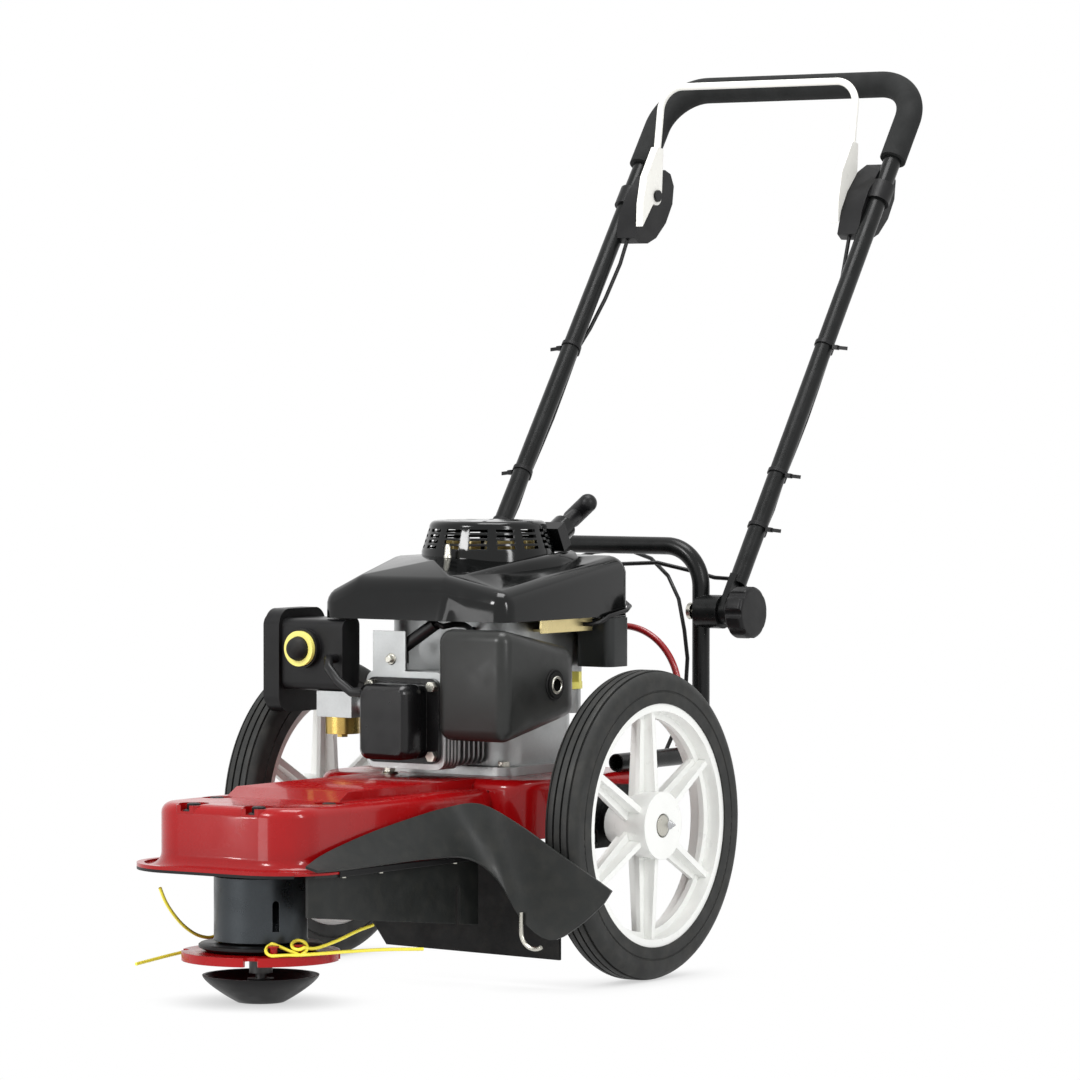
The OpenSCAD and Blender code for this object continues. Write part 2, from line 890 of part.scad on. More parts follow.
module nose_plan(grow, r, back) {
  hw = nose_half_w + grow;
  front = nose_front + grow;
  translate([-hw, r - front]) square([2 * hw, back + front - r]);
  translate([r - hw, -front]) square([2 * (hw - r), 2 * r]);
  for (s = [-1, 1]) {
    translate([s * (hw - r), r - front]) circle(r);
  }
}

module tunnel_block(inset, drop) {
  w = tunnel_half_w - inset;
  back = bed_front + edge_r + drop;
  translate([-w, 0, 0]) rotate([90, 0, 90]) linear_extrude(2 * w) polygon([
    [tunnel_front + inset, deck_top - sheet_t - drop],
    [tunnel_front + inset, deck_top - inset / 2],
    [tunnel_front + tunnel_slope + inset / 2, bed_top - inset],
    [back, bed_top - inset],
    [back, deck_top - sheet_t - drop]]);
}

module deck_pan() {
  cx = nose_half_w - nose_r;
  cy = nose_r - nose_front;
  px = bed_half_w - bed_r;
  color(red) difference() {
    union() {
      for (s = [0, 1]) {
        mirror([s, 0, 0]) {
          side_run(nose_half_w, cy, bed_front) nose_section();
          corner_run(cx, cy, nose_r, -90, 90) nose_section();
          side_run(bed_half_w, bed_front + bed_r, bed_end - bed_r)
            bed_section();
          corner_run(px, bed_front + bed_r, bed_r, -90, 90) bed_section();
          corner_run(px, bed_end - bed_r, bed_r, 0, 90) bed_section();
        }
      }
      front_run(-nose_front, cx) nose_section();
      front_run(bed_front, px) bed_section();
      back_run(bed_end, px) bed_section();
      translate([0, 0, deck_top - sheet_t]) linear_extrude(sheet_t)
        nose_plan(-edge_r, nose_r - edge_r, bed_front);
      translate([0, 0, bed_top - sheet_t]) linear_extrude(sheet_t)
        rrect(edge_r - bed_half_w, bed_half_w - edge_r, bed_front + edge_r,
          bed_end - edge_r, bed_r - edge_r);
      tunnel_block(0, 0);
      intersection() {
        for (p = mount_places) {
          translate([p[0], p[1], pocket_floor - sheet_t])
            cylinder(h = pocket_drop + sheet_t / 2, r = pocket_r + sheet_t);
        }
        linear_extrude(bed_top) nose_plan(0, nose_r, bed_front);
      }
      translate([idler_x, idler_pivot_y, idler_arm_z + idler_arm_t + gap])
        cylinder(h = bed_top - sheet_t / 2 - idler_arm_z - idler_arm_t - gap, d = pin_shoulder_d);
      translate([idler_x, idler_pivot_y, idler_arm_z - gap - pin_head_t])
        cylinder(h = idler_arm_t + pin_head_t + 3 * gap, d = idler_pivot_d);
      translate([idler_x, idler_pivot_y, idler_arm_z - gap - pin_head_t])
        cylinder(h = pin_head_t, d = pin_shoulder_d);
    }
    translate([sheet_t - nose_half_w, bed_front - cut, bed_low - cut])
      cube([2 * (nose_half_w - sheet_t), edge_r + 2 * cut, deck_top - sheet_t - bed_low + cut]);
    difference() {
      tunnel_block(sheet_t, cut);
      translate([-tunnel_half_w, bed_front + edge_r, bed_low])
        cube([2 * tunnel_half_w, edge_r, bed_top]);
    }
    for (p = mount_places) {
      translate([p[0], p[1], pocket_floor]) cylinder(h = pocket_drop + cut, r = pocket_r);
      hole([p[0], p[1], pocket_floor - sheet_t], sheet_t, mount_bolt_d + 2 * seat_gap);
    }
    hole([0, crank_back, bed_top - sheet_t], sheet_t, crank_hole_d);
    for (p = engine_places) {
      hole([p[0], crank_back + p[1], bed_top - sheet_t], sheet_t, engine_bolt_d + 2 * seat_gap);
    }
    for (y = shield_bolt_ys) {
      hole([shield_bolt_x, y, lip_h - sheet_t], sheet_t, shield_bolt_d + 2 * seat_gap);
    }
  }
}

module edging_section() {
  difference() {
    translate([lip_w - edging_cover, lip_h - sheet_t - edging_t])
      square([edging_cover + edging_t, sheet_t + 2 * edging_t]);
    translate([lip_w - edging_cover - cut, lip_h - sheet_t - run_gap])
      square([edging_cover + cut + run_gap, sheet_t + 2 * run_gap]);
  }
}

module lip_edging() {
  cx = nose_half_w - nose_r;
  cy = nose_r - nose_front;
  color(black) {
    mirror([1, 0, 0]) {
      side_run(nose_half_w, cy, edging_back) edging_section();
      corner_run(cx, cy, nose_r, -90, 90) edging_section();
    }
    front_run(-nose_front, cx) edging_section();
    corner_run(cx, cy, nose_r, -90, edging_turn) edging_section();
  }
}

// axle brackets with welded stub axles
module bracket_section() {
  top = bed_top - edge_r;
  translate([bed_half_w, bed_low]) square([bracket_t, top - bed_low]);
  translate([bed_half_w, top - bracket_t]) square([bracket_out, bracket_t]);
  translate([bracket_face - bracket_t, bracket_low]) square([bracket_t, top - bracket_low]);
}

module axle_brackets() {
  axle_end = track / 2 + hub_out - hub_recess + axle_poke;
  hub_face = track / 2 + hub_out - hub_len;
  color(grey) for (s = [0, 1]) {
    mirror([s, 0, 0]) {
      difference() {
        side_run(0, axle_back - bracket_half_l, axle_back + bracket_half_l) bracket_section();
        translate([bracket_face - bracket_t - cut, axle_back - bracket_half_l + bracket_window / 2,
          bracket_low + bracket_window / 2])
          cube([bracket_t + 2 * cut, bracket_window, bracket_window]);
      }
      rod_x(bed_half_w + bracket_t / 2, axle_end, axle_back, axle_z, axle_d);
      rod_x(bracket_face - bracket_t / 2, hub_face - gap, axle_back, axle_z, axle_collar_d);
    }
  }
}

// lower frame and guard hoop
module bent_leg(x, z0, top, bend) {
  translate([x, 0, z0]) linear_extrude(top - bend - z0) children();
  translate([x - bend, 0, top - bend]) rotate([90, 0, 0]) rotate_extrude(angle = 90)
    translate([bend, 0]) children();
}

module lower_frame() {
  x = frame_span / 2;
  flat_face = handle_x - flat_t / 2;
  color(black) {
    difference() {
      union() {
        for (s = [0, 1]) {
          mirror([s, 0, 0]) {
            translate([x, frame_foot_y, frame_foot_z]) rotate([-90, 0, 0])
              linear_extrude(pivot_back - foot_bend - frame_foot_y) ring2d(frame_d, tube_t);
            translate([x, pivot_back - foot_bend, frame_foot_z + foot_bend])
              rotate([90, 0, 90]) rotate([0, 0, -90]) rotate_extrude(angle = 90)
                translate([foot_bend, 0]) ring2d(frame_d, tube_t);
            translate([0, pivot_back, 0])
              bent_leg(x, frame_foot_z + foot_bend, frame_top, frame_bend) ring2d(frame_d, tube_t);
          }
        }
        translate([frame_bend - x, pivot_back, frame_top]) rotate([0, 90, 0])
          linear_extrude(2 * (x - frame_bend)) ring2d(frame_d, tube_t);
      }
      rod_x(-x - frame_d, x + frame_d, pivot_back, pivot_h, pivot_bolt_d + 2 * seat_gap);
    }
    for (s = [0, 1]) {
      mirror([s, 0, 0]) difference() {
        rod_x(x, flat_face - gap, pivot_back, pivot_h, spacer_bracket_d);
        translate([x, pivot_back, pivot_h - spacer_bracket_d])
          cylinder(h = 2 * spacer_bracket_d, d = frame_d + 2 * run_gap);
        rod_x(x - cut, flat_face + cut, pivot_back, pivot_h, pivot_bolt_d + 2 * seat_gap);
      }
    }
  }
}

module guard_hoop() {
  color(red) {
    for (s = [0, 1]) {
      mirror([s, 0, 0]) translate([0, hoop_y, 0])
        bent_leg(hoop_x, hoop_low, hoop_top, hoop_bend) circle(d = hoop_d);
    }
    rod_x(hoop_bend - hoop_x, hoop_x - hoop_bend, hoop_y, hoop_top, hoop_d);
  }
}

// shield
function wing_pt(x, y, z) =
  [nose_half_w + x * wing_reach, y * wing_len - nose_front, wing_low + z * wing_rise];
wing_rows = [for (s = wing_shares)
  let (a = wing_pt(s[0], s[1], s[2]), b = wing_pt(s[3], s[4], s[5]))
    [for (j = [0:wing_cols]) a + (b - a) * j / wing_cols]];

module shield_wing() {
  color(black) sheet(smooth_rows(wing_rows, wing_steps), shield_t);
}

module skirt_ring(x, grow, z, h) {
  intersection() {
    translate([0, 0, z]) linear_extrude(h) difference() {
      nose_plan(skirt_half_w - nose_half_w + grow, skirt_r + grow, skirt_back);
      nose_plan(skirt_half_w - nose_half_w - shield_t, skirt_r - shield_t, skirt_back + cut);
    }
    translate([x, -skirt_fore, 0])
      cube([skirt_half_w + skirt_flange_w, skirt_back + skirt_fore, lip_h]);
  }
}

module shield_skirt() {
  out = skirt_half_w - nose_half_w;
  top = lip_h - sheet_t;
  color(black) difference() {
    union() {
      skirt_ring(skirt_start_x, 0, 0, top);
      skirt_ring(skirt_flange_x, skirt_flange_w, top - shield_t, shield_t);
    }
    rotate([90, 0, 90]) linear_extrude(skirt_half_w + cut) polygon([
      [-nose_front - skirt_r, -cut], [skirt_back + cut, -cut], [skirt_back + cut, skirt_back_h],
      [-nose_front - out, skirt_front_h], [-nose_front - skirt_r, skirt_front_h]]);
    translate([skirt_half_w - 2 * shield_t, skirt_slot_y, skirt_slot_low])
      cube([3 * shield_t, skirt_slot_w, skirt_slot_top - skirt_slot_low]);
    for (y = shield_bolt_ys) {
      hole([shield_bolt_x, y, top - shield_t], shield_t, shield_bolt_d + 2 * seat_gap);
    }
  }
}

module shield_hook() {
  color(grey) {
    translate([hook_x, hook_y, hook_z]) cylinder(h = hook_up, d = hook_d);
    translate([hook_x + hook_bend, hook_y, hook_z]) rotate([90, 0, 0]) rotate([0, 0, 180])
      rotate_extrude(angle = hook_turn) translate([hook_bend, 0]) circle(d = hook_d);
  }
}

module rear_apron() {
  color(black) translate([0, bed_front + sheet_t + apron_t, 0]) rotate([90, 0, 0])
    linear_extrude(apron_t) polygon([
      [-apron_ear_out, apron_top], [-apron_belt_half_w, apron_top],
      [-apron_belt_half_w, apron_belt_top], [apron_belt_half_w, apron_belt_top],
      [apron_belt_half_w, apron_top], [apron_ear_out, apron_top],
      [apron_ear_out, bed_low - apron_t], [apron_left, bed_low - apron_t],
      [apron_left, apron_low], [-apron_right, apron_low + apron_t],
      [-apron_half_w + apron_right, apron_waist], [-apron_half_w, apron_belt_top],
      [-apron_half_w, bed_low - apron_t], [-apron_ear_out, bed_low - apron_t]]);
}

// cutting head
module spindle_housing() {
  color(grey) difference() {
    union() {
      translate([0, 0, housing_top - housing_t]) linear_extrude(housing_t) {
        circle(d = housing_hub_d);
        for (p = mount_places) {
          translate(p) circle(d = lug_d);
          rotate([0, 0, atan2(p[1], p[0])]) translate([0, -lug_arm_w / 2]) square([norm(p), lug_arm_w]);
        }
      }
      translate([0, 0, housing_low]) cylinder(h = housing_top - housing_t - housing_low, d = housing_d);
    }
    translate([0, 0, housing_low - cut])
      cylinder(h = spindle_top + cut + gap - housing_low + cut, d = bearing_d + 2 * run_gap);
    for (p = mount_places) {
      hole([p[0], p[1], housing_top - housing_t], housing_t, mount_bolt_d + 2 * seat_gap);
    }
  }
  color(silver) for (k = [0, 1]) {
    translate([0, 0, housing_low + k * (bearing_w + bearing_gap)]) difference() {
      cylinder(h = bearing_w, d = bearing_d);
      hole([0, 0, 0], bearing_w, spindle_d + 2 * run_gap);
    }
  }
}

module wrap_guard() {
  inner = nose_half_w - sheet_t;
  color(dark) difference() {
    union() {
      translate([0, 0, guard_low]) linear_extrude(guard_top - guard_low) ring2d(guard_d, guard_t);
      translate([0, 0, guard_top - guard_t]) linear_extrude(guard_t) ring2d(guard_d, guard_lip);
      intersection() {
        translate([0, 0, guard_low]) linear_extrude(guard_plate_z - guard_low) ring2d(guard_d, guard_t);
        translate([-guard_d, -guard_tab_half, guard_low]) cube([2 * guard_d, 2 * guard_tab_half, guard_d]);
      }
      translate([-inner, -guard_plate_half, guard_plate_z])
        cube([2 * inner, 2 * guard_plate_half, guard_t]);
      for (s = [0, 1]) {
        mirror([s, 0, 0]) translate([inner - guard_t, -guard_plate_half, guard_plate_z])
          cube([guard_t, 2 * guard_plate_half, guard_flange_top - guard_plate_z]);
      }
    }
    hole([0, 0, guard_plate_z], guard_t, guard_hole_d);
    rotate([0, 0, guard_slot_turn]) {
      translate([0, -guard_slot_w / 2, guard_slot_low])
        cube([guard_d, guard_slot_w, guard_slot_top - guard_slot_low]);
      translate([0, 0, guard_slot_top]) rotate([0, 90, 0]) cylinder(h = guard_d, d = guard_slot_w);
    }
  }
}

module pulley(seat_d, bore) {
  half = belt_w / 2 + gap;
  edge = seat_d / 2 + pulley_rim;
  rotate_extrude() difference() {
    union() {
      translate([bore / 2, belt_h - half - pulley_wall])
        square([edge - bore / 2, 2 * (half + pulley_wall)]);
      translate([bore / 2, belt_h - half - pulley_wall - pulley_hub_l])
        square([(pulley_hub_d - bore) / 2, pulley_hub_l]);
    }
    translate([seat_d / 2 - gap, belt_h - half]) square([edge, 2 * half]);
  }
}

module spindle_shaft() {
  color(grey) {
    translate([0, 0, foot_t + journal_lift]) cylinder(h = disc_h - foot_t - journal_lift, d = journal_d);
    translate([0, 0, foot_h + foot_room]) cylinder(h = disc_h - foot_h - foot_room, d = spacer_d);
    translate([0, 0, disc_h]) cylinder(h = spindle_top - disc_h, d = spindle_d);
    translate([0, 0, flange_top])
      cylinder(h = belt_h - belt_w / 2 - gap - pulley_wall - pulley_hub_l - flange_top, d = collar_d);
  }
}

module head_pulley() { color(grey) pulley(head_seat_d, spindle_d + 2 * run_gap); }

module head_flange() {
  color(dark) rotate_extrude() polygon([[spindle_d / 2 + run_gap, disc_top],
    [flange_d / 2 - flange_t, disc_top], [flange_d / 2, disc_top + flange_t / 2],
    [flange_d / 2, flange_top - flange_t / 6], [flange_d / 2 - flange_t / 4, flange_top],
    [spindle_d / 2 + run_gap, flange_top]]);
}

function post_at(k, half) =
  [post_r_place * cos(post_turns[k] + half), post_r_place * sin(post_turns[k] + half)];

module trimmer_disc() {
  color(red) difference() {
    union() {
      translate([0, 0, disc_h - disc_rim_h]) cylinder(h = disc_rim_h + disc_t, d = disc_d);
      for (half = [0, 180], k = [0, 1]) {
        translate(concat(post_at(k, half), [disc_top - disc_t / 2])) {
          cylinder(h = post_h + disc_t / 2, d = post_d);
          translate([0, 0, post_h + disc_t / 2 - post_cap_h]) cylinder(h = post_cap_h, d = post_cap_d);
        }
      }
    }
    hole([0, 0, disc_h], disc_t, spindle_d + 2 * run_gap);
    translate([0, 0, disc_h - disc_rim_h - cut]) cylinder(h = disc_rim_h + cut, d = disc_d - 2 * disc_t);
    for (a = [0:90:270]) {
      rotate([0, 0, a + notch_turn]) hole([disc_d / 2, 0, disc_h - disc_rim_h], disc_t + disc_rim_h, notch_d);
    }
  }
}

// turns of line round a post, between two angles and two heights
function loop_pts(k, half, n, a0, a1, z0, z1) = [for (i = [0:n]) let (p = post_at(k, half),
  a = half + a0 + (a1 - a0) * i / n)
    [p[0] + loop_r * cos(a), p[1] + loop_r * sin(a), z0 + (z1 - z0) * i / n]];
function line_loops(half) = concat(
  loop_pts(0, half, loop_steps, loop_in, loop_out, loop_z + loop_climb, loop_z),
  loop_pts(1, half, wrap_steps, wrap_in, wrap_out, loop_z, loop_z));
line_one_route = concat(line_tip_c, line_loops(0), line_tip_d);
line_two_route = concat(line_tip_a, line_loops(180), line_tip_b);

module line_one() { color(yellow) swept(line_one_route, line_r, line_sides, [0, 0, 1]); }
module line_two() { color(yellow) swept(line_two_route, line_r, line_sides, [0, 0, 1]); }

function foot_side(a) = foot_cone * sin(a) + (1 - foot_cone) * (1 - cos(a));

module glide_foot() {
  flat_r = foot_flat_d / 2;
  wide = foot_d / 2 - flat_r;
  color(black) difference() {
    union() {
      rotate_extrude() polygon(concat([[0, 0]],
        [for (a = [0:foot_step:90]) [flat_r + wide * sin(a), foot_h * foot_side(a)]],
        [for (a = [90:-foot_step:0])
          [flat_r + (wide - foot_t) * sin(a), foot_t + (foot_h - foot_t) * foot_side(a)]],
        [[0, foot_t]]));
      cylinder(h = foot_hub_h, d = foot_hub_d);
    }
    translate([0, 0, foot_t]) cylinder(h = foot_hub_h, d = journal_d + 2 * run_gap);
  }
}

// drive
module belt_loop(grow) {
  r1 = head_seat_d / 2 + grow;
  r2 = drive_seat_d / 2 + grow;
  s = (r1 - r2) / crank_back;
  c = sqrt(1 - s * s);
  circle(r1);
  translate([0, crank_back]) circle(r2);
  polygon([[r1 * c, r1 * s], [r2 * c, crank_back + r2 * s], [-r2 * c, crank_back + r2 * s],
    [-r1 * c, r1 * s]]);
}

module drive_belt() {
  color(black) translate([0, 0, belt_h - belt_w / 2]) linear_extrude(belt_w) difference() {
    belt_loop(belt_t);
    belt_loop(0);
  }
}

module drive_pulley() {
  color(grey) translate([0, crank_back, 0]) pulley(drive_seat_d, crank_d + 2 * run_gap);
}

module crankshaft() {
  color(grey) translate([0, crank_back, crank_low])
    cylinder(h = engine_z + crank_top - crank_low, d = crank_d);
}

module flywheel() {
  color(dark) at_engine() translate([0, 0, flywheel_low]) difference() {
    union() {
      cylinder(h = flywheel_t, d = flywheel_d);
      cylinder(h = flywheel_t + vane_h, r = vane_in / 2 + vane_w);
      for (i = [0:vane_n - 1]) {
        rotate([0, 0, i * 360 / vane_n]) translate([vane_in, -vane_w / 2, flywheel_t / 2])
          cube([flywheel_d / 2 - vane_in - vane_w, vane_w, vane_h + flywheel_t / 2]);
      }
    }
    hole([0, 0, 0], flywheel_t + vane_h, crank_d + 2 * run_gap);
  }
}

module at_idler() {
  translate([idler_x, idler_pivot_y, 0]) rotate([0, 0, -idler_swing]) children();
}

module idler_arm() {
  color(grey) at_idler() {
    difference() {
      translate([0, 0, idler_arm_z]) linear_extrude(idler_arm_t) {
        circle(d = idler_arm_w);
        translate([0, -idler_arm_len]) circle(d = idler_arm_w);
        translate([-idler_arm_w / 2, -idler_arm_len]) square([idler_arm_w, idler_arm_len]);
      }
      hole([0, 0, idler_arm_z], idler_arm_t, idler_pivot_d + 2 * run_gap);
    }
    translate([0, -idler_arm_len, idler_low - gap - pin_head_t])
      cylinder(h = idler_arm_z + idler_arm_t / 2 - idler_low + gap + pin_head_t, d = idler_pin_d);
    translate([0, -idler_arm_len, idler_low - gap - pin_head_t])
      cylinder(h = pin_head_t, d = idler_pin_d + 2 * pin_head_t);
    translate([0, -idler_arm_len, idler_low + idler_h + gap])
      cylinder(h = idler_arm_z - idler_low - idler_h, d = idler_pin_d + 2 * pin_head_t);
  }
}

module idler_pulley() {
  color(dark) at_idler() translate([0, -idler_arm_len, idler_low]) difference() {
    cylinder(h = idler_h, d = idler_d);
    hole([0, 0, 0], idler_h, idler_pin_d + 2 * run_gap);
  }
}

// the engine's own frame: crankshaft axis, underside of the base
module at_engine() {
  translate([0, crank_back, engine_z]) children();
}

module engine_block() {
  color(silver) at_engine() difference() {
    union() {
      linear_extrude(base_t)
        rrect(-base_half_w, base_half_w, -base_half_w, base_half_w, base_r);
      linear_extrude(sump_top)
        rrect(-sump_half_w, sump_half_w, -sump_fore, sump_aft, sump_r);
      translate([0, 0, sump_top]) linear_extrude(blower_t) blower_plan(0);
      translate([0, 0, sump_top]) linear_extrude(cowl_low - sump_top) difference() {
        blower_plan(0);
        blower_plan(blower_wall);
      }
      for (sx = [-1, 1], sy = [-1, 1]) {
        translate([sx * (blower_half_w - ear_in), sy * ear_y, sump_top])
          cylinder(h = cowl_low - sump_top, d = ear_d);
      }
      translate([0, fin_t - sump_fore, bore_z]) rotate([90, 0, 0])
        cylinder(h = fin_t - sump_fore - barrel_front, d = barrel_d);
      for (i = [0:fin_n - 1]) {
        translate([0, barrel_front + fin_t + i * fin_step, bore_z]) rotate([90, 0, 0])
          linear_extrude(fin_t) rrect(-fin_half_w, fin_half_w, -fin_half_h, fin_half_h, fin_r);
      }
      translate([oil_x, oil_y, oil_low]) cylinder(h = oil_top - oil_low, d = oil_d);
      translate([sump_half_w - fin_t, oil_y - oil_d / 2, oil_low])
        cube([oil_x - sump_half_w + fin_t, oil_d, oil_d]);
    }
    hole([0, 0, 0], sump_top + blower_t, crank_d + 2 * run_gap);
    for (p = engine_places) {
      hole([p[0], p[1], 0], base_t, engine_bolt_d + 2 * seat_gap);
    }
    hole([oil_x, oil_y, oil_top - dip_len], dip_len, dip_d + 2 * gap);
  }
}

module blower_plan(inset) {
  rrect(inset - blower_half_w, blower_half_w - inset, inset - blower_fore, blower_aft - inset,
    blower_r - inset);
}

module cylinder_head() {
  color(silver) at_engine() {
    translate([0, barrel_front, bore_z]) rotate([90, 0, 0]) linear_extrude(head_t)
      rrect(-head_half_w + fin_t, head_half_w - fin_t, -head_half_h + fin_t, head_half_h - fin_t, fin_r);
    for (i = [0:head_fin_n - 1]) {
      translate([0, barrel_front - i * (head_t - fin_t) / (head_fin_n - 1), bore_z]) rotate([90, 0, 0])
        linear_extrude(fin_t) rrect(-head_half_w, head_half_w, -head_half_h, head_half_h, fin_r);
    }
    translate([-head_plate_w, head_y, bore_z + head_half_h - fin_t])
      cube([head_plate_w, head_plate_t, head_plate_h + fin_t]);
  }
}

module rocker_cover() {
  color(dark) at_engine() {
    translate([0, head_y, bore_z]) rotate([90, 0, 0]) difference() {
      linear_extrude(rocker_flange_t)
        rrect(-rocker_flange_half_w, rocker_flange_half_w, -rocker_flange_half_h,
          rocker_flange_half_h, rocker_r);
      rocker_bolt_places(-cut, rocker_flange_t + 2 * cut, rocker_bolt_d + 2 * seat_gap);
    }
    translate([0, head_y - rocker_flange_t, bore_z]) rotate([90, 0, 0]) hull() {
      for (x = [-1, 1], z = [-1, 1]) {
        translate([x * (rocker_half_w - rocker_r), z * (rocker_half_h - rocker_r), 0])
          cylinder(h = rocker_depth - rocker_flange_t - rocker_r / 2, r = rocker_r, $fn = 32);
        translate([x * (rocker_half_w - rocker_r), z * (rocker_half_h - rocker_r), 0])
          cylinder(h = rocker_depth - rocker_flange_t, r = rocker_r / 2, $fn = 32);
      }
    }
  }
}

module rocker_bolt_places(z, h, d) {
  for (x = [-rocker_bolt_x, rocker_bolt_x], y = [-rocker_bolt_h, rocker_bolt_h]) {
    translate([x, y, z]) cylinder(h = h, d = d);
  }
}

module soft_box(x0, x1, y0, y1, z0, z1, r, tail, lift) {
  hull() {
    for (z = [z0 + r, z1 - r]) {
      up = z < z1 - r ? lift : -lift;
      translate([x0 + r, y0 + r, z]) sphere(r, $fn = 24);
      translate([x1 - r, y0 + r, z]) sphere(r, $fn = 24);
      translate([x0 + r, y1 - r, z + up]) sphere(r, $fn = 24);
      translate([x1 - tail, y1 - tail, z + up]) {
        if (tail > 2 * r) {
          rotate_extrude($fn = 24) translate([tail - r, 0]) circle(r, $fn = 24);
        } else {
          sphere(r, $fn = 24);
        }
      }
    }
  }
}

module muffler() {
  color(dark) at_engine() difference() {
    union() {
      soft_box(can_in, can_out, can_front, can_step, can_low, can_top,
        can_r, can_r, can_step_lift);
      soft_box(can_waist, can_out, can_front, can_back, can_low, can_top,
        can_r, can_tail_r, can_lift);
      translate([head_half_w, head_y, bore_z - port_half])
        cube([can_in + can_r - head_half_w, head_t, 2 * port_half]);
    }
    rod_x(can_out - outlet_depth, can_out + cut, outlet_y, outlet_z, outlet_d);
  }
}

module muffler_outlet() {
  color(silver) at_engine() translate([can_out, outlet_y, outlet_z]) rotate([0, 90, 0])
    linear_extrude(outlet_ring_t) ring2d(outlet_ring_d, (outlet_ring_d - outlet_d) / 2);
}

module air_base() {
  color(black) at_engine() difference() {
    union() {
      translate([air_split, 0, 0]) rotate([90, 0, 90]) {
        linear_extrude(air_in - air_split) rrect(air_front, air_mid, air_low, air_top, air_r);
        linear_extrude(air_deep) rrect(air_front, air_back, air_low, air_top, air_r);
      }
      translate([primer_x, air_front + air_r, primer_z]) rotate([90, 0, 0])
        cylinder(h = air_r + primer_boss_t, d = primer_boss_d);
    }
    translate([primer_x, air_front + primer_deep, primer_z]) rotate([90, 0, 0])
      cylinder(h = primer_deep + primer_boss_t + cut, d = primer_d + 2 * gap);
  }
}

module air_cover() {
  t = air_split - air_out;
  color(black) at_engine() translate([air_out, 0, 0]) rotate([90, 0, 90]) {
    translate([0, 0, lid_step]) linear_extrude(t - lid_step)
      rrect(lid_front, lid_back, lid_low, lid_top, lid_r);
    linear_extrude(t)
      rrect(lid_front + lid_step, lid_back - lid_step,
        lid_low + lid_step, lid_top - lid_step, lid_r - lid_step);
  }
}

module primer_ring() {
  color(yellow) at_engine() translate([primer_x, air_front - primer_boss_t, primer_z]) rotate([90, 0, 0])
    linear_extrude(primer_ring_t) ring2d(primer_ring_d, (primer_ring_d - primer_d) / 2 - gap);
}

module primer_bulb() {
  color(black) at_engine() translate([primer_x, air_front - primer_boss_t - primer_ring_t, primer_z])
    rotate([90, 0, 0]) {
    translate([0, 0, -primer_stem]) cylinder(h = primer_stem, d = primer_d);
    rotate_extrude() intersection() {
      circle(d = primer_d);
      square([primer_d, primer_d]);
    }
  }
}

module carburettor() {
  color(silver) at_engine() {
    translate([carb_out, carb_y - carb_half, carb_low])
      cube([carb_in - carb_out, 2 * carb_half, air_low - carb_low]);
    rod_x(carb_in - fin_t, -head_half_w, carb_y - carb_shift, carb_low + carb_port, intake_d);
    rod_x(-head_half_w - fin_t * 2, -head_half_w, carb_y - carb_shift, carb_low + carb_port,
      intake_d + fin_t);
  }
}

module float_bowl() {
  color(brass) at_engine() translate([bowl_x, carb_y, carb_low - bowl_h]) {
    translate([0, 0, bowl_nut]) cylinder(h = bowl_h - bowl_nut, d = bowl_d);
    cylinder(h = bowl_nut, d = bowl_d / 3, $fn = 6);
  }
}

module spark_plug() {
  z = bore_z + head_half_h;
  color(white) at_engine() translate([plug_x, plug_y, z]) {
    cylinder(h = plug_hex_h, d = plug_hex_af / cos(30), $fn = 6);
    cylinder(h = plug_len, d = plug_d - 2 * fin_t);
  }
}

boot_top = bore_z + head_half_h + plug_hex_h + gap + boot_len;
boot_reach = boot_arm + run_gap;
lead_route = concat([[plug_x + boot_reach * sin(boot_lean), plug_y, boot_top + boot_reach * cos(boot_lean)]],
  lead_points);
module plug_lead() {
  z = boot_top - boot_len;
  color(black) at_engine() {
    difference() {
      union() {
        translate([plug_x, plug_y, z]) cylinder(h = boot_len, d = boot_d);
        translate([plug_x, plug_y, boot_top]) {
          sphere(d = boot_d);
          rotate([0, boot_lean, 0]) cylinder(h = boot_arm, d = boot_arm_d);
        }
      }
      translate([plug_x, plug_y, z - cut])
        cylinder(h = plug_len - plug_hex_h + cut, d = plug_d - 2 * fin_t + 2 * seat_gap);
    }
    swept(lead_route, lead_d / 2, line_sides, [1, 0, 0]);
  }
}

module breather_hose() {
  color(black) at_engine() swept(hose_points, hose_d / 2, hose_sides, [0, 0.3, 1]);
}

module cowl_form(inset) {
  r = cowl_round - inset;
  hull() {
    for (p = cowl_tops) {
      translate([p[0], p[1], p[2] - cowl_round]) sphere(r, $fn = 24);
      translate([p[0], p[1], cowl_low]) cylinder(h = cut, r = r, $fn = 24);
    }
    for (p = cowl_crown) {
      translate([p[0], p[1], p[2] - cowl_round]) sphere(r, $fn = 24);
    }
  }
}

module blower_shroud() {
  color(black) at_engine() difference() {
    union() {
      difference() {
        cowl_form(0);
        translate([0, 0, -cut]) cowl_form(cowl_t);
      }
      intersection() {
        for (sx = [-1, 1], sy = [-1, 1]) {
          translate([sx * (blower_half_w - ear_in), sy * ear_y, cowl_low])
            cylinder(h = cowl_tall, d = ear_d);
        }
        cowl_form(cowl_t / 2);
      }
      swept(arch_points, arch_rs, arch_sides, [1, 0, 0]);
    }
    translate([0, 0, cowl_low - cut])
      cylinder(h = cowl_tall, r = fan_r + gap / 2);
    translate([-cowl_tall - cowl_left, -cowl_tall - cowl_fore, cowl_low - cowl_tall])
      cube([2 * (cowl_tall + cowl_left), 2 * (cowl_tall + cowl_fore), cowl_tall]);
  }
}

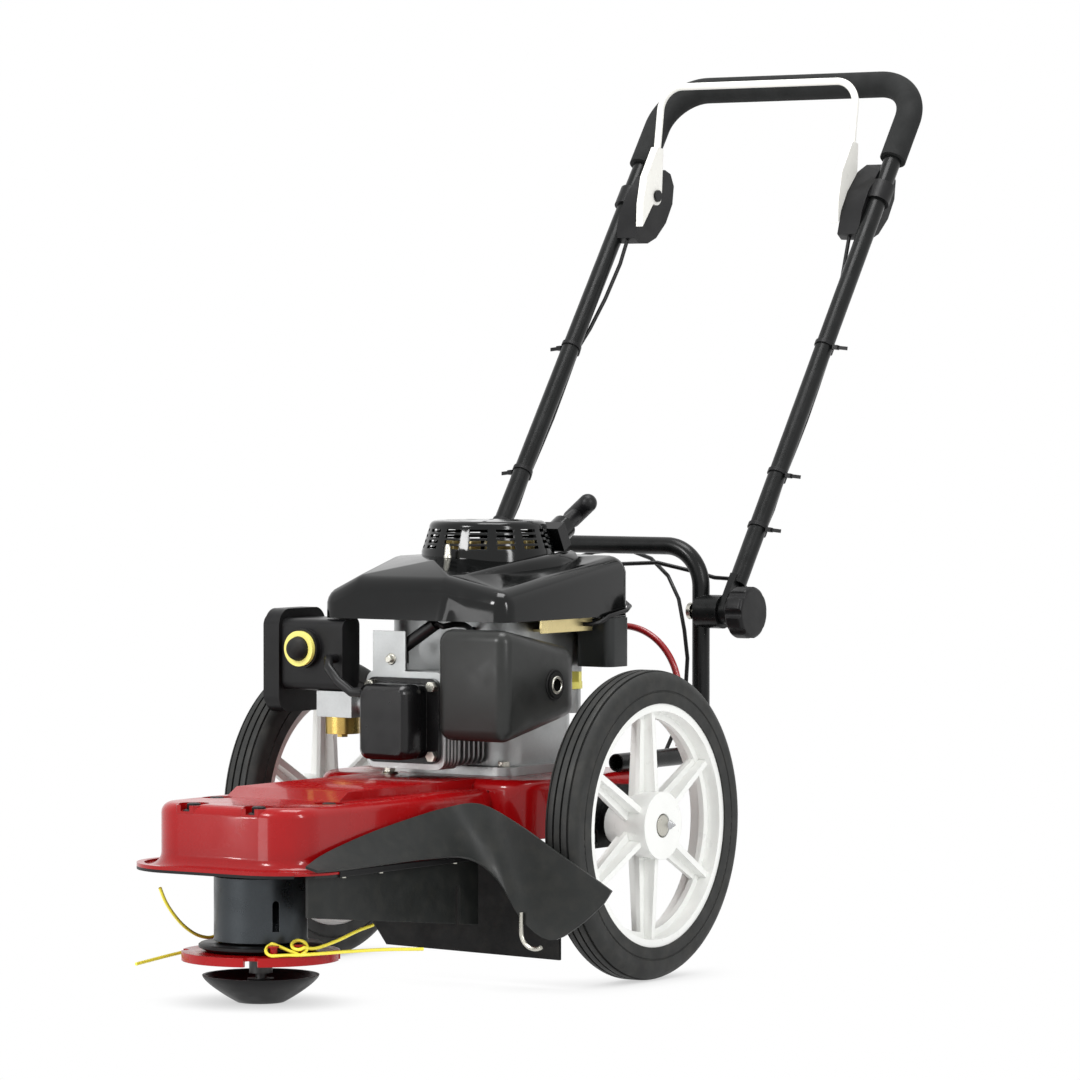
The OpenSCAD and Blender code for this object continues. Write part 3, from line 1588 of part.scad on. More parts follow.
module starter_cover() {
  half = fan_r - fan_draft;
  w = 2 * PI * fan_r / slat_n * slat_turn_share;
  color(black) at_engine() difference() {
    union() {
      difference() {
        rotate_extrude() {
          translate([half - fan_round, fan_top - fan_round]) circle(fan_round);
          polygon([[0, fan_low], [fan_r, fan_low], [fan_r, fan_neck],
            [half, fan_top - fan_round], [half - fan_round, fan_top], [0, fan_top]]);
        }
        rotate_extrude() polygon([[0, fan_low - cut], [fan_r - fan_wall, fan_low - cut],
          [fan_r - fan_wall, fan_neck],
          [half - fan_wall, fan_top - fan_round],
          [half - fan_round, fan_top - fan_wall], [0, fan_top - fan_wall]]);
        for (i = [0:slat_n - 1], k = [0:slat_rows - 1]) {
          rotate([0, 0, (i + 0.5) * 360 / slat_n])
            translate([fan_r - 4 * fan_wall, -w / 2, fan_neck + slat_base + k * slat_step])
              cube([5 * fan_wall, w, slat_h]);
        }
        for (i = [0:top_slot_n - 1]) {
          rotate([0, 0, i * 360 / top_slot_n])
            translate([top_slot_in, -top_slot_w / 2, fan_top - 2 * fan_wall])
              cube([top_slot_out - top_slot_in, top_slot_w, 3 * fan_wall]);
        }
      }
      at_rope() translate([0, 0, -guide_l]) cylinder(h = guide_l, d = guide_d);
      at_rope() translate([-guide_d / 2, -guide_d / 2, -2 * guide_l]) cube([guide_d, guide_d, guide_l]);
    }
    at_rope() translate([0, 0, -guide_bore]) cylinder(h = guide_bore + cut, d = rope_d + 4 * gap);
  }
}

// local Z runs out along the starter rope
module at_rope() {
  translate([rope_x, rope_y, rope_z]) rotate([rope_tilt - 90, 0, 0]) children();
}

module starter_grip() {
  color(black) at_engine() at_rope() {
    translate([0, 0, gap]) cylinder(h = grip_stem_l, d1 = grip_stem_d,
      d2 = grip_stem_d * grip_neck_share);
    translate([0, 0, -guide_bore + cut]) cylinder(h = guide_bore, d = rope_d);
    translate([0, 0, grip_stem_l]) rotate([0, 90, grip_turn])
      translate([0, 0, -(grip_bar_l - grip_bar_d) / 2]) {
      cylinder(h = grip_bar_l - grip_bar_d, d = grip_bar_d);
      sphere(d = grip_bar_d);
      translate([0, 0, grip_bar_l - grip_bar_d]) sphere(d = grip_bar_d);
    }
  }
}

module fuel_tank() {
  color(dark) at_engine() {
    translate([0, 0, tank_low]) linear_extrude(tank_top - tank_low) {
      rrect(tank_in, tank_out, tank_fore, tank_mid, tank_r);
      rrect(tank_in, tank_side, tank_fore, tank_neck, tank_r);
      translate([tank_left - tank_r, tank_split]) square([tank_r, tank_neck - tank_split - tank_r]);
      rrect(tank_right, tank_left, tank_split, tank_aft, tank_r);
    }
    translate([neck_x, neck_y, tank_top - tank_r]) cylinder(h = neck_h + tank_r, d = neck_d);
    translate([-tank_r, blower_aft, tank_low + tank_r])
      cube([2 * tank_r, tank_split_gap + cut, tank_r]);
  }
}

module fuel_cap() {
  color(black) at_engine() translate([neck_x, neck_y, tank_top + gap]) difference() {
    union() {
      cylinder(h = cap_fuel_h, d = cap_fuel_d - 2 * cap_rib);
      for (i = [0:cap_rib_n - 1]) {
        rotate([0, 0, i * 360 / cap_rib_n]) translate([cap_fuel_d / 2 - 3 * cap_rib, -cap_rib, 0])
          cube([3 * cap_rib, 2 * cap_rib, cap_fuel_h - cap_rib]);
      }
    }
    translate([0, 0, -cut]) cylinder(h = neck_h + cut, d = neck_d + 2 * seat_gap);
  }
}

module dipstick() {
  color(yellow) at_engine() translate([oil_x, oil_y, oil_top]) {
    translate([0, 0, cut - dip_len]) cylinder(h = dip_len, d = dip_d);
    translate([0, 0, run_gap]) cylinder(h = dip_cap_h, d = dip_cap_d);
    translate([-dip_cap_d / 2, -dip_d / 2, dip_cap_h / 2]) cube([dip_cap_d, dip_d, dip_tab_h]);
  }
}

module control_plate() {
  color(brass) at_engine() {
    translate([blower_half_w, plate_flat, plate_low])
      cube([plate_out - blower_half_w, plate_back - plate_flat, plate_t]);
    translate([plate_out - plate_t, plate_front, plate_low])
      cube([plate_t, plate_back - plate_front, plate_h]);
  }
}

// bolts, nuts and axle caps of the chassis
module chassis_bolts() {
  cap_face = track / 2 + hub_out - hub_recess + gap;
  axle_end = track / 2 + hub_out - hub_recess + axle_poke;
  color(dark) {
    for (p = mount_places) {
      bolt(p[0], p[1], housing_top - housing_t, pocket_floor, mount_bolt_d, mount_head_af, mount_head_h);
    }
    at_engine() for (p = engine_places) {
      bolt(p[0], p[1], -sheet_t, base_t, engine_bolt_d, engine_head_af, engine_head_h);
    }
    for (y = shield_bolt_ys) {
      bolt(shield_bolt_x, y, lip_h - sheet_t - shield_t, lip_h, shield_bolt_d, shield_head_af, shield_head_h);
    }
    at_engine() translate([0, head_y, bore_z]) rotate([90, 0, 0]) {
      rocker_bolt_places(0, rocker_flange_t + rocker_head_h, rocker_bolt_d);
      for (x = [-rocker_bolt_x, rocker_bolt_x], y = [-rocker_bolt_h, rocker_bolt_h]) {
        hex_bolt(x, y, rocker_flange_t, rocker_head_af, rocker_head_h);
      }
    }
    for (s = [0, 1]) {
      mirror([s, 0, 0]) {
        rod_x(frame_span / 2 - frame_r - bolt_head_t, bolt_reach, pivot_back, pivot_h, pivot_bolt_d);
        rod_x(frame_span / 2 - frame_r - bolt_head_t, frame_span / 2 - frame_r, pivot_back, pivot_h,
          bolt_head_d);
        difference() {
          rod_x(cap_face, cap_face + cap_t, axle_back, axle_z, cap_d);
          rod_x(cap_face - cut, axle_end + run_gap, axle_back, axle_z, axle_d + 2 * run_gap);
        }
      }
    }
  }
}

// handle
module at_handle() {
  translate([0, pivot_back, pivot_h]) rotate([handle_tilt, 0, 0]) children();
}

module arch(x, y0, y1, bend) {
  for (s = [0, 1]) {
    mirror([s, 0, 0]) {
      translate([x, y0, 0]) rotate([-90, 0, 0]) linear_extrude(y1 - bend - y0) children();
      translate([x - bend, y1 - bend, 0]) rotate_extrude(angle = 90) translate([bend, 0]) children();
    }
  }
  translate([bend - x, y1, 0]) rotate([0, 90, 0]) linear_extrude(2 * (x - bend)) children();
}

module upper_handle() {
  color(black) at_handle() difference() {
    union() {
      arch(handle_x, flat_up - flat_t, handle_len, handle_bend) ring2d(handle_d, tube_t);
      for (s = [-1, 1]) {
        translate([s * handle_x - flat_t / 2, 0, -flat_w / 2]) cube([flat_t, flat_up, flat_w]);
        rod_x(s * handle_x - flat_t / 2, s * handle_x + flat_t / 2, 0, 0, flat_w);
      }
    }
    rod_x(-handle_x - flat_t, handle_x + flat_t, 0, 0, pivot_bolt_d + 2 * run_gap);
  }
}

module foam_grip() {
  color(dark) at_handle() arch(handle_x, handle_len - handle_bend - grip_tail, handle_len, handle_bend)
    ring2d(grip_d, (grip_d - handle_d) / 2 - run_gap);
}

module lever_housings() {
  color(black) at_handle() for (s = [0, 1]) {
    mirror([s, 0, 0]) {
      difference() {
        union() {
          translate([lever_in, 0, lever_mid]) rotate([90, 0, 90]) linear_extrude(lever_out - lever_in)
            polygon([for (q = lever_shares) [lever_low + q[0] * (lever_top - lever_low), q[1] * lever_half]]);
          translate([handle_x, lever_band_low, 0]) rotate([-90, 0, 0])
            cylinder(h = lever_band_w, d = lever_band);
        }
        translate([handle_x, lever_low - cut, 0]) rotate([-90, 0, 0])
          cylinder(h = lever_top - lever_low + 2 * cut, d = handle_d + 2 * seat_gap);
      }
      rod_x(lever_in - 2 * bail_gap - blade_t, lever_in + lever_deep,
        bail_pivot_y, bail_pivot_z, bail_pin_d);
      rod_x(lever_in - 2 * bail_gap - blade_t - bail_head_t, lever_in - 2 * bail_gap - blade_t,
        bail_pivot_y, bail_pivot_z, bail_pin_d + 2 * bail_head_t);
    }
  }
}

module bail() {
  x = lever_in - bail_gap - blade_t / 2;
  dy = bail_bar_y - bail_pivot_y;
  dz = bail_bar_z - bail_pivot_z;
  color(white) at_handle() translate([0, bail_pivot_y, bail_pivot_z]) rotate([atan2(dz, dy), 0, 0]) {
    arch(x, blade_l - bail_d, norm([dy, dz]), bail_bend) circle(d = bail_d);
    for (s = [-1, 1]) {
      difference() {
        union() {
          rod_x(s * x - blade_t / 2, s * x + blade_t / 2, 0, 0, blade_w);
          translate([s * x - blade_t / 2, 0, 0]) rotate([90, 0, 90]) linear_extrude(blade_t)
            polygon([[0, -blade_w / 2], [blade_l, -bail_blade_w / 2],
              [blade_l, bail_blade_w / 2], [blade_l / 3, bail_blade_h],
              [-bail_blade_low / 3, bail_blade_h + bail_blade_w / 4],
              [-bail_blade_low, bail_blade_h], [-blade_w / 2, bail_blade_w / 2]]);
        }
        rod_x(s * x - blade_t, s * x + blade_t, 0, 0, bail_pin_d + 2 * run_gap);
      }
    }
  }
}

module knob(side) {
  face = handle_x + flat_t / 2 + gap;
  color(black) translate([side * face, pivot_back, pivot_h]) rotate([0, side * 90, 0]) difference() {
    union() {
      cylinder(h = knob_hub_l + cut, d = knob_hub_d);
      translate([0, 0, knob_hub_l]) rotate_extrude() {
        square([knob_d / 2 - knob_edge, knob_t]);
        translate([0, knob_edge]) square([knob_d / 2, knob_t - 2 * knob_edge]);
        for (z = [knob_edge, knob_t - knob_edge]) {
          translate([knob_d / 2 - knob_edge, z]) circle(knob_edge);
        }
      }
    }
    for (i = [0:knob_lobe_n - 1]) {
      rotate([0, 0, i * 360 / knob_lobe_n])
        hole([knob_d / 2 + knob_lobe_d / 4, 0, knob_hub_l], knob_t, knob_lobe_d);
    }
    translate([0, 0, -cut]) cylinder(h = bolt_reach - face + cut + gap, d = pivot_bolt_d + 2 * run_gap);
  }
}

module left_knob() { knob(1); }
module right_knob() { knob(-1); }

// control cables
module cable_upper() {
  color(black) at_handle() for (s = [-1, 1]) {
    swept([for (p = cable_upper_points) [s * (handle_x + p[0]), p[1], cable_off + p[2]]], cable_d / 2,
      line_sides, [0, 0, 1]);
  }
}

module cable_lower() {
  color(black) {
    swept(cable_left_points, cable_d / 2, line_sides, [0.1, 0.2, 1]);
    swept(cable_right_points, cable_d / 2, line_sides, [0.5, -0.6, 1]);
  }
}

module tie_form(grow) {
  hull() {
    circle(d = handle_d + 2 * grow, $fn = 24);
    translate([0, -cable_off]) circle(d = cable_d + 2 * grow, $fn = 16);
  }
}

module cable_ties() {
  color(black) at_handle() for (s = [-1, 1], y = tie_places) {
    translate([s * handle_x, y, 0]) rotate([-90, 0, 0]) linear_extrude(tie_w) difference() {
      tie_form(seat_gap + tie_t);
      tie_form(seat_gap);
    }
  }
}

deck_pan();
lip_edging();
axle_brackets();
lower_frame();
guard_hoop();
shield_wing();
shield_skirt();
shield_hook();
rear_apron();
wrap_guard();
spindle_housing();
drive_belt();
chassis_bolts();
engine_block();
cylinder_head();
rocker_cover();
muffler();
muffler_outlet();
air_base();
air_cover();
primer_ring();
carburettor();
float_bowl();
spark_plug();
plug_lead();
breather_hose();
blower_shroud();
starter_cover();
fuel_tank();
control_plate();
cable_lower();
left_tyre();
left_rim();
right_tyre();
right_rim();
crankshaft();
flywheel();
drive_pulley();
spindle_shaft();
head_pulley();
head_flange();
trimmer_disc();
line_one();
line_two();
glide_foot();
idler_arm();
idler_pulley();
upper_handle();
foam_grip();
lever_housings();
cable_upper();
cable_ties();
bail();
left_knob();
right_knob();
starter_grip();
primer_bulb();
fuel_cap();
dipstick();
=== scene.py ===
"""Wheeled string trimmer: the looks of the part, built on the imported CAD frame.

Sizes and places are in millimetres, and MM turns them into Blender's metres; only the studio is in
metres. +Z is up, +X is the operator's left, and the cutting head points towards -Y.
"""

from __future__ import annotations

import json
import logging
import math
from contextlib import contextmanager
from dataclasses import dataclass
from enum import Enum
from typing import Any, Iterator, Sequence

import bmesh
import bpy
from mathutils import Matrix, Vector

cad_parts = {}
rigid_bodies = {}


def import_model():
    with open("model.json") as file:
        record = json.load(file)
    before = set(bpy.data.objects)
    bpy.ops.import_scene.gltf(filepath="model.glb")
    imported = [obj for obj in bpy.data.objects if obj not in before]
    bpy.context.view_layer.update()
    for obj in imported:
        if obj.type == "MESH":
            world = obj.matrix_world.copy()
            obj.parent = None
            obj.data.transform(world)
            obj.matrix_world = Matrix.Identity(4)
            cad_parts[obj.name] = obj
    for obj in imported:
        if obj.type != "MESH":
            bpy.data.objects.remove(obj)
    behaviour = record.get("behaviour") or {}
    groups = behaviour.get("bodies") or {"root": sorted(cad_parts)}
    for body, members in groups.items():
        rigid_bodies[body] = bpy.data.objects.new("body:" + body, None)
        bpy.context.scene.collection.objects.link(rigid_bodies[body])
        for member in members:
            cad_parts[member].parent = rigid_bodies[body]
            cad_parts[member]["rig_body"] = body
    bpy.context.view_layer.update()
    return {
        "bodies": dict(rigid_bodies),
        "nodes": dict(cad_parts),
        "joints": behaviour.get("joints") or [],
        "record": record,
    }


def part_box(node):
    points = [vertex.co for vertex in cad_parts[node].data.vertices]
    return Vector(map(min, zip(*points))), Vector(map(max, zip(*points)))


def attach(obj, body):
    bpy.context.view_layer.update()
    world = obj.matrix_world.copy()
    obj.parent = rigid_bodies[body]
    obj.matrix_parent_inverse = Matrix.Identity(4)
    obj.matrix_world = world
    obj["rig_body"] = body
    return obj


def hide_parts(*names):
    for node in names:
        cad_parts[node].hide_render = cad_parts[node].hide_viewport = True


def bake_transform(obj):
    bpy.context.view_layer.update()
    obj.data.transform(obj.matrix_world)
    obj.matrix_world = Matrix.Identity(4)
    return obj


LOG = logging.getLogger("trimmer")
MM = 0.001
UP = (0, 0, 1)
CREASE = 35.0

Colour = tuple[float, float, float]
Point = tuple[float, float, float]
Span = tuple[float, float]
Outline = tuple[Span, ...]
Object = bpy.types.Object
Mesh = bpy.types.Mesh
Socket = bpy.types.NodeSocket


def srgb(*levels: int) -> Colour:
    """Turns three 8-bit display levels into a linear colour."""
    shares = [level / 255 for level in levels]
    return tuple(s / 12.92 if s <= 0.04045 else ((s + 0.055) / 1.055) ** 2.4 for s in shares)


def metres(point: Sequence[float]) -> Point:
    """Turns a place in millimetres into metres."""
    return tuple(c * MM for c in point)


# ---- node trees


class Tree:
    """A node tree under construction."""

    def __init__(self, tree: bpy.types.NodeTree) -> None:
        """Takes a tree and empties it."""
        tree.nodes.clear()
        self.tree = tree

    def add(self, kind: str, inputs: dict[str | int, Any] | None = None,
            **settings: Any) -> bpy.types.Node:
        """Adds a node.

        Args:
            kind: the node's type.
            inputs: for each input's name or index, the socket that feeds it or its value.
            settings: the node's own settings.

        Returns:
            The node.
        """
        node = self.tree.nodes.new(kind)
        for key, value in settings.items():
            setattr(node, key, value)
        for key, value in (inputs or {}).items():
            if isinstance(value, Socket):
                self.tree.links.new(value, node.inputs[key])
            else:
                node.inputs[key].default_value = value
        return node

    def calc(self, operation: str, *values: Socket | float, **settings: Any) -> Socket:
        """Returns the result of a math operation on sockets and numbers."""
        inputs = dict(enumerate(values))
        return self.add("ShaderNodeMath", inputs, operation=operation, **settings).outputs[0]


class Shader(Tree):
    """A material's tree, with the textures that finishes are made of."""

    # places of the colour sockets among those of a mix node
    MIX_FIRST, MIX_SECOND, MIX_RESULT = 6, 7, 2

    def __init__(self, tree: bpy.types.NodeTree) -> None:
        """Starts the tree from the piece's Object coordinates."""
        super().__init__(tree)
        self.coords = self.add("ShaderNodeTexCoord").outputs["Object"]

    def noise(self, scale: float, detail: float, stretch: Point = (1, 1, 1)) -> Socket:
        """Adds noise.

        Args:
            scale: cells per metre.
            detail: octaves.
            stretch: scale along each axis.

        Returns:
            The noise's value.
        """
        place = self.add("ShaderNodeMapping", {"Vector": self.coords, "Scale": stretch})
        inputs = {"Vector": place.outputs["Vector"], "Scale": scale, "Detail": detail}
        return self.add("ShaderNodeTexNoise", inputs).outputs["Fac"]

    def span(self, value: Socket, source: Span, result: Span) -> Socket:
        """Returns a value mapped from one span to another, clamped."""
        ends = dict(zip(("From Min", "From Max", "To Min", "To Max"), (*source, *result)))
        return self.add("ShaderNodeMapRange", {"Value": value, **ends}).outputs["Result"]

    def mix(self, factor: Socket, first: Socket | Colour, second: Socket | Colour) -> Socket:
        """Mixes two colours.

        Args:
            factor: the share of the second.
            first: one colour.
            second: the other.

        Returns:
            The mixed colour.
        """
        pair = [c if isinstance(c, Socket) else (*c, 1) for c in (first, second)]
        inputs = {"Factor": factor, self.MIX_FIRST: pair[0], self.MIX_SECOND: pair[1]}
        return self.add("ShaderNodeMix", inputs, data_type="RGBA").outputs[self.MIX_RESULT]

    def rounded(self, radius: float) -> Socket:
        """Returns the normal of a surface whose edges are rounded by a radius."""
        return self.add("ShaderNodeBevel", {"Radius": radius * MM}, samples=4).outputs["Normal"]


# ---- finishes


class Grain(Enum):
    """The close-up texture of a finish: its name, and its noise's octaves and stretch."""

    PAINT = ("paint", 1.0, (1, 1, 1))
    MOULDED = ("moulded", 4.0, (1, 1, 1))
    CAST = ("cast", 4.0, (1, 1, 1))
    BRUSHED = ("brushed", 2.0, (1, 0.06, 1))
    RUBBER = ("rubber", 4.0, (1, 1, 1))
    FOAM = ("foam", 0.0, (1, 1, 1))
    DRAWN = ("drawn", 2.0, (0.15, 1, 1))

    def height(self, shader: Shader, scale: float) -> Socket:
        """Adds the texture that the bump follows: open cells for foam, and else noise.

        Args:
            shader: the material's tree.
            scale: cells per metre.

        Returns:
            The height.
        """
        if self is Grain.FOAM:
            inputs = {"Vector": shader.coords, "Scale": scale}
            return shader.add("ShaderNodeTexVoronoi", inputs).outputs["Distance"]
        _, detail, stretch = self.value
        return shader.noise(scale, detail, stretch)


# cells per metre of the patterns that every finish has
TONE_SCALE, DUST_SCALE, WEAR_SCALE, GLOSS_SCALE = 9.0, 60.0, 160.0, 45.0
# the noise levels between which each pattern sets in, and the faintest wear of an edge
TONE_SPAN, DUST_SPAN, WEAR_SPAN, GLOSS_SPAN = (0.4, 0.95), (0.45, 0.8), (0.42, 0.62), (0.35, 0.7)
LEAST_WEAR = 0.15
# how far the rounded and the flat normal agree where an edge begins and where it is full
EDGE_SPAN = (0.995, 0.88)
DUST = srgb(150, 142, 128)
FINE_SCALE, FINE_TONE, TONE_LIFT = 0.5, 0.35, 0.004
WORN_ROUGHER, LEAST_ROUGH = 0.2, 0.03
BUMP_EDGE = 0.6
COAT_ROUGHNESS = 0.06
BUMP_HEIGHT = 0.4


@dataclass(frozen=True)
class Finish:
    """One surface finish and the material that shows it."""

    name: str
    colour: Colour
    roughness: float
    grain: Grain
    metallic: float = 0.0
    coat: float = 0.0
    tone: float = 0.08
    rough_spread: float = 0.08
    grain_scale: float = 900.0
    grain_depth: float = 0.1
    wear: float = 0.0
    wear_colour: Colour = (0.4, 0.4, 0.4)
    edge: float = 1.2
    dust: float = 0.0
    specular: float = 0.5

    def material(self) -> bpy.types.Material:
        """Makes the material once and hands the same one out afterwards.

        Returns:
            The material.
        """
        known = bpy.data.materials.get(self.name)
        if known:
            return known
        mat = bpy.data.materials.new(self.name)
        mat.use_nodes = True
        shader = Shader(mat.node_tree)
        colour, worn = self._worn(shader, self._dusted(shader, self._toned(shader)))
        bsdf = shader.add("ShaderNodeBsdfPrincipled", {
            "Base Color": colour,
            "Metallic": self.metallic,
            "Roughness": self._gloss(shader, worn),
            "Specular IOR Level": self.specular,
            "Coat Weight": self.coat,
            "Coat Roughness": COAT_ROUGHNESS,
            "Normal": self._bump(shader),
        })
        shader.add("ShaderNodeOutputMaterial", {"Surface": bsdf.outputs["BSDF"]})
        return mat

    def _toned(self, shader: Shader) -> Socket:
        """Gives the colour slow and fine changes of tone.

        Args:
            shader: the material's tree.

        Returns:
            The colour.
        """
        slow = shader.noise(TONE_SCALE, 2.0)
        fine = shader.noise(self.grain_scale * FINE_SCALE, 2.0)
        both = shader.calc("MULTIPLY_ADD", fine, FINE_TONE, slow)
        dark = tuple(c * (1 - self.tone) for c in self.colour)
        light = tuple(min(1.0, c * (1 + self.tone) + TONE_LIFT * self.tone) for c in self.colour)
        return shader.mix(shader.span(both, TONE_SPAN, (0, 1)), dark, light)

    def _dusted(self, shader: Shader, colour: Socket) -> Socket:
        """Lays a little pale dust on in patches.

        Args:
            shader: the material's tree.
            colour: the colour so far.

        Returns:
            The colour.
        """
        if self.dust <= 0:
            return colour
        patch = shader.noise(DUST_SCALE, 6.0)
        return shader.mix(shader.span(patch, DUST_SPAN, (0, self.dust)), colour, DUST)

    def _worn(self, shader: Shader, colour: Socket) -> tuple[Socket, Socket | None]:
        """Rubs the edges.

        Args:
            shader: the material's tree.
            colour: the colour so far.

        Returns:
            The colour, and the mask of the rubbed edges or None without wear.
        """
        if self.wear <= 0:
            return colour, None
        flat = shader.add("ShaderNodeNewGeometry").outputs["Normal"]
        dot = shader.add("ShaderNodeVectorMath", {0: shader.rounded(self.edge), 1: flat},
                         operation="DOT_PRODUCT")
        edge = shader.span(dot.outputs["Value"], EDGE_SPAN, (0, 1))
        patch = shader.span(shader.noise(WEAR_SCALE, 5.0), WEAR_SPAN, (LEAST_WEAR, 1))
        mask = shader.span(shader.calc("MULTIPLY", edge, patch), (0, 1), (0, self.wear))
        return shader.mix(mask, colour, self.wear_colour), mask

    def _gloss(self, shader: Shader, worn: Socket | None) -> Socket:
        """Varies the roughness in patches, and adds to it on rubbed edges.

        Args:
            shader: the material's tree.
            worn: the mask of the rubbed edges, if any.

        Returns:
            The roughness.
        """
        low = max(LEAST_ROUGH, self.roughness - self.rough_spread)
        high = min(1.0, self.roughness + self.rough_spread)
        rough = shader.span(shader.noise(GLOSS_SCALE, 5.0), GLOSS_SPAN, (low, high))
        if worn is None:
            return rough
        return shader.calc("MULTIPLY_ADD", worn, WORN_ROUGHER, rough, use_clamp=True)

    def _bump(self, shader: Shader) -> Socket:
        """Raises the grain over softly rounded edges.

        Args:
            shader: the material's tree.

        Returns:
            The normal.
        """
        return shader.add("ShaderNodeBump", {
            "Strength": self.grain_depth,
            "Distance": BUMP_HEIGHT * MM,
            "Height": self.grain.height(shader, self.grain_scale),
            "Normal": shader.rounded(BUMP_EDGE * self.edge),
        }).outputs["Normal"]


RED_PAINT = Finish(
    "deck_red_paint", srgb(150, 6, 10), 0.26, Grain.PAINT, coat=0.35, tone=0.06, grain_scale=260,
    grain_depth=0.03, wear=0.35, wear_colour=srgb(120, 26, 24), rough_spread=0.05, specular=0.16)
HOOP_PAINT = Finish(
    "hoop_red_paint", srgb(150, 20, 24), 0.3, Grain.PAINT, coat=0.4, grain_depth=0.05)
DISC_RED = Finish(
    "disc_red_paint", srgb(158, 10, 14), 0.28, Grain.PAINT, coat=0.15, grain_scale=420,
    grain_depth=0.05, wear=0.4, wear_colour=srgb(120, 40, 38), specular=0.2)
BLACK_COAT = Finish(
    "black_powder_coat", srgb(17, 18, 18), 0.3, Grain.MOULDED, grain_scale=1400, grain_depth=0.12,
    wear=0.3, wear_colour=srgb(64, 64, 63), specular=0.22)
WHITE_COAT = Finish(
    "bail_white_coat", srgb(243, 242, 236), 0.35, Grain.PAINT, coat=0.2, grain_depth=0.06,
    tone=0.03)
GLOSS_BLACK = Finish(
    "cowl_gloss_black", srgb(8, 9, 9), 0.12, Grain.PAINT, grain_scale=320, grain_depth=0.02,
    rough_spread=0.05, wear=0.2, wear_colour=srgb(50, 50, 50), specular=0.3)
ROCKER_BLACK = Finish(
    "rocker_black_paint", srgb(14, 14, 15), 0.22, Grain.PAINT, coat=0.1, grain_scale=420,
    grain_depth=0.08, wear=0.35, wear_colour=srgb(84, 84, 83), specular=0.3)
MUFFLER_PAINT = Finish(
    "muffler_heat_paint", srgb(38, 39, 38), 0.36, Grain.PAINT, metallic=0.1, grain_scale=700,
    tone=0.12, wear=0.3, wear_colour=srgb(90, 89, 86), specular=0.32)
MATT_BLACK = Finish(
    "black_moulded_plastic", srgb(18, 18, 19), 0.4, Grain.MOULDED, grain_scale=1800,
    grain_depth=0.22, wear=0.25, wear_colour=srgb(58, 58, 57), specular=0.24)
SHIELD_PLASTIC = Finish(
    "shield_plastic", srgb(30, 32, 31), 0.4, Grain.MOULDED, grain_depth=0.18, wear=0.3,
    wear_colour=srgb(76, 78, 75), dust=0.03, specular=0.28)
TANK_PLASTIC = Finish(
    "tank_plastic", srgb(40, 42, 42), 0.36, Grain.MOULDED, grain_scale=1200, grain_depth=0.15,
    wear=0.25, wear_colour=srgb(84, 86, 85), specular=0.28)
RIM_WHITE = Finish(
    "rim_white_plastic", srgb(244, 245, 242), 0.35, Grain.MOULDED, grain_depth=0.08, tone=0.03,
    dust=0.04)
YELLOW_PLASTIC = Finish(
    "yellow_plastic", srgb(232, 206, 32), 0.35, Grain.MOULDED, grain_scale=1200, tone=0.04)
LINE_NYLON = Finish(
    "yellow_nylon_line", srgb(252, 236, 78), 0.28, Grain.DRAWN, grain_scale=1500, grain_depth=0.03,
    tone=0.04, edge=0.1)
FLAP_RUBBER = Finish(
    "flap_rubber", srgb(20, 20, 20), 0.62, Grain.RUBBER, grain_scale=500, grain_depth=0.3,
    dust=0.04, specular=0.25)
# near black along the lip's lower edge and on the strip under it
LIP_EDGE_BLACK = Finish(
    "edging_rubber", srgb(18, 18, 19), 0.5, Grain.RUBBER, grain_depth=0.2, specular=0.25)
TYRE_RUBBER = Finish(
    "tyre_rubber", srgb(38, 39, 38), 0.58, Grain.RUBBER, grain_scale=700, grain_depth=0.28,
    tone=0.12, dust=0.05, wear=0.25, wear_colour=srgb(66, 66, 65), specular=0.3)
CABLE_JACKET = Finish(
    "cable_jacket", srgb(16, 16, 17), 0.38, Grain.RUBBER, grain_scale=1500, specular=0.3)
BELT_RUBBER = Finish("belt_rubber", srgb(26, 26, 27), 0.65, Grain.RUBBER, grain_depth=0.4)
FOAM = Finish(
    "grip_foam", srgb(28, 29, 29), 0.85, Grain.FOAM, grain_scale=800, grain_depth=0.8, tone=0.15,
    specular=0.3)
CAST_ALLOY = Finish(
    "cast_alloy", srgb(176, 178, 178), 0.42, Grain.CAST, metallic=0.9, grain_scale=650,
    grain_depth=0.35, tone=0.1, wear=0.3, wear_colour=srgb(215, 216, 216))
DARK_CAST = Finish(
    "dark_cast", srgb(96, 98, 100), 0.5, Grain.CAST, metallic=0.85, grain_scale=650,
    grain_depth=0.3)
# near black that paints the shade inside the outlet's recess, on the outlet and on the disc round
# it
OUTLET_SHADE = Finish(
    "outlet_soot", srgb(15, 15, 15), 0.6, Grain.CAST, metallic=0.5, grain_scale=800,
    grain_depth=0.2, tone=0.15)
STEEL = Finish("bright_steel", srgb(186, 187, 188), 0.28, Grain.DRAWN, metallic=1.0)
DARK_STEEL = Finish("spindle_steel", srgb(92, 92, 92), 0.4, Grain.DRAWN, metallic=0.9, dust=0.1)
GUARD_STEEL = Finish(
    "guard_steel", srgb(66, 70, 73), 0.33, Grain.BRUSHED, metallic=0.85, grain_scale=800, tone=0.1,
    wear=0.35, wear_colour=srgb(150, 154, 156))
ZINC = Finish("zinc_plate", srgb(196, 194, 184), 0.3, Grain.CAST, metallic=1.0, tone=0.1)
GOLD_ZINC = Finish(
    "gold_zinc_plate", srgb(222, 205, 150), 0.32, Grain.BRUSHED, metallic=0.9, grain_scale=700,
    tone=0.12)
BRASS_ZINC = Finish(
    "bowl_yellow_zinc", srgb(196, 168, 96), 0.3, Grain.CAST, metallic=1.0, grain_scale=500,
    grain_depth=0.12, tone=0.15)


# ---- making pieces


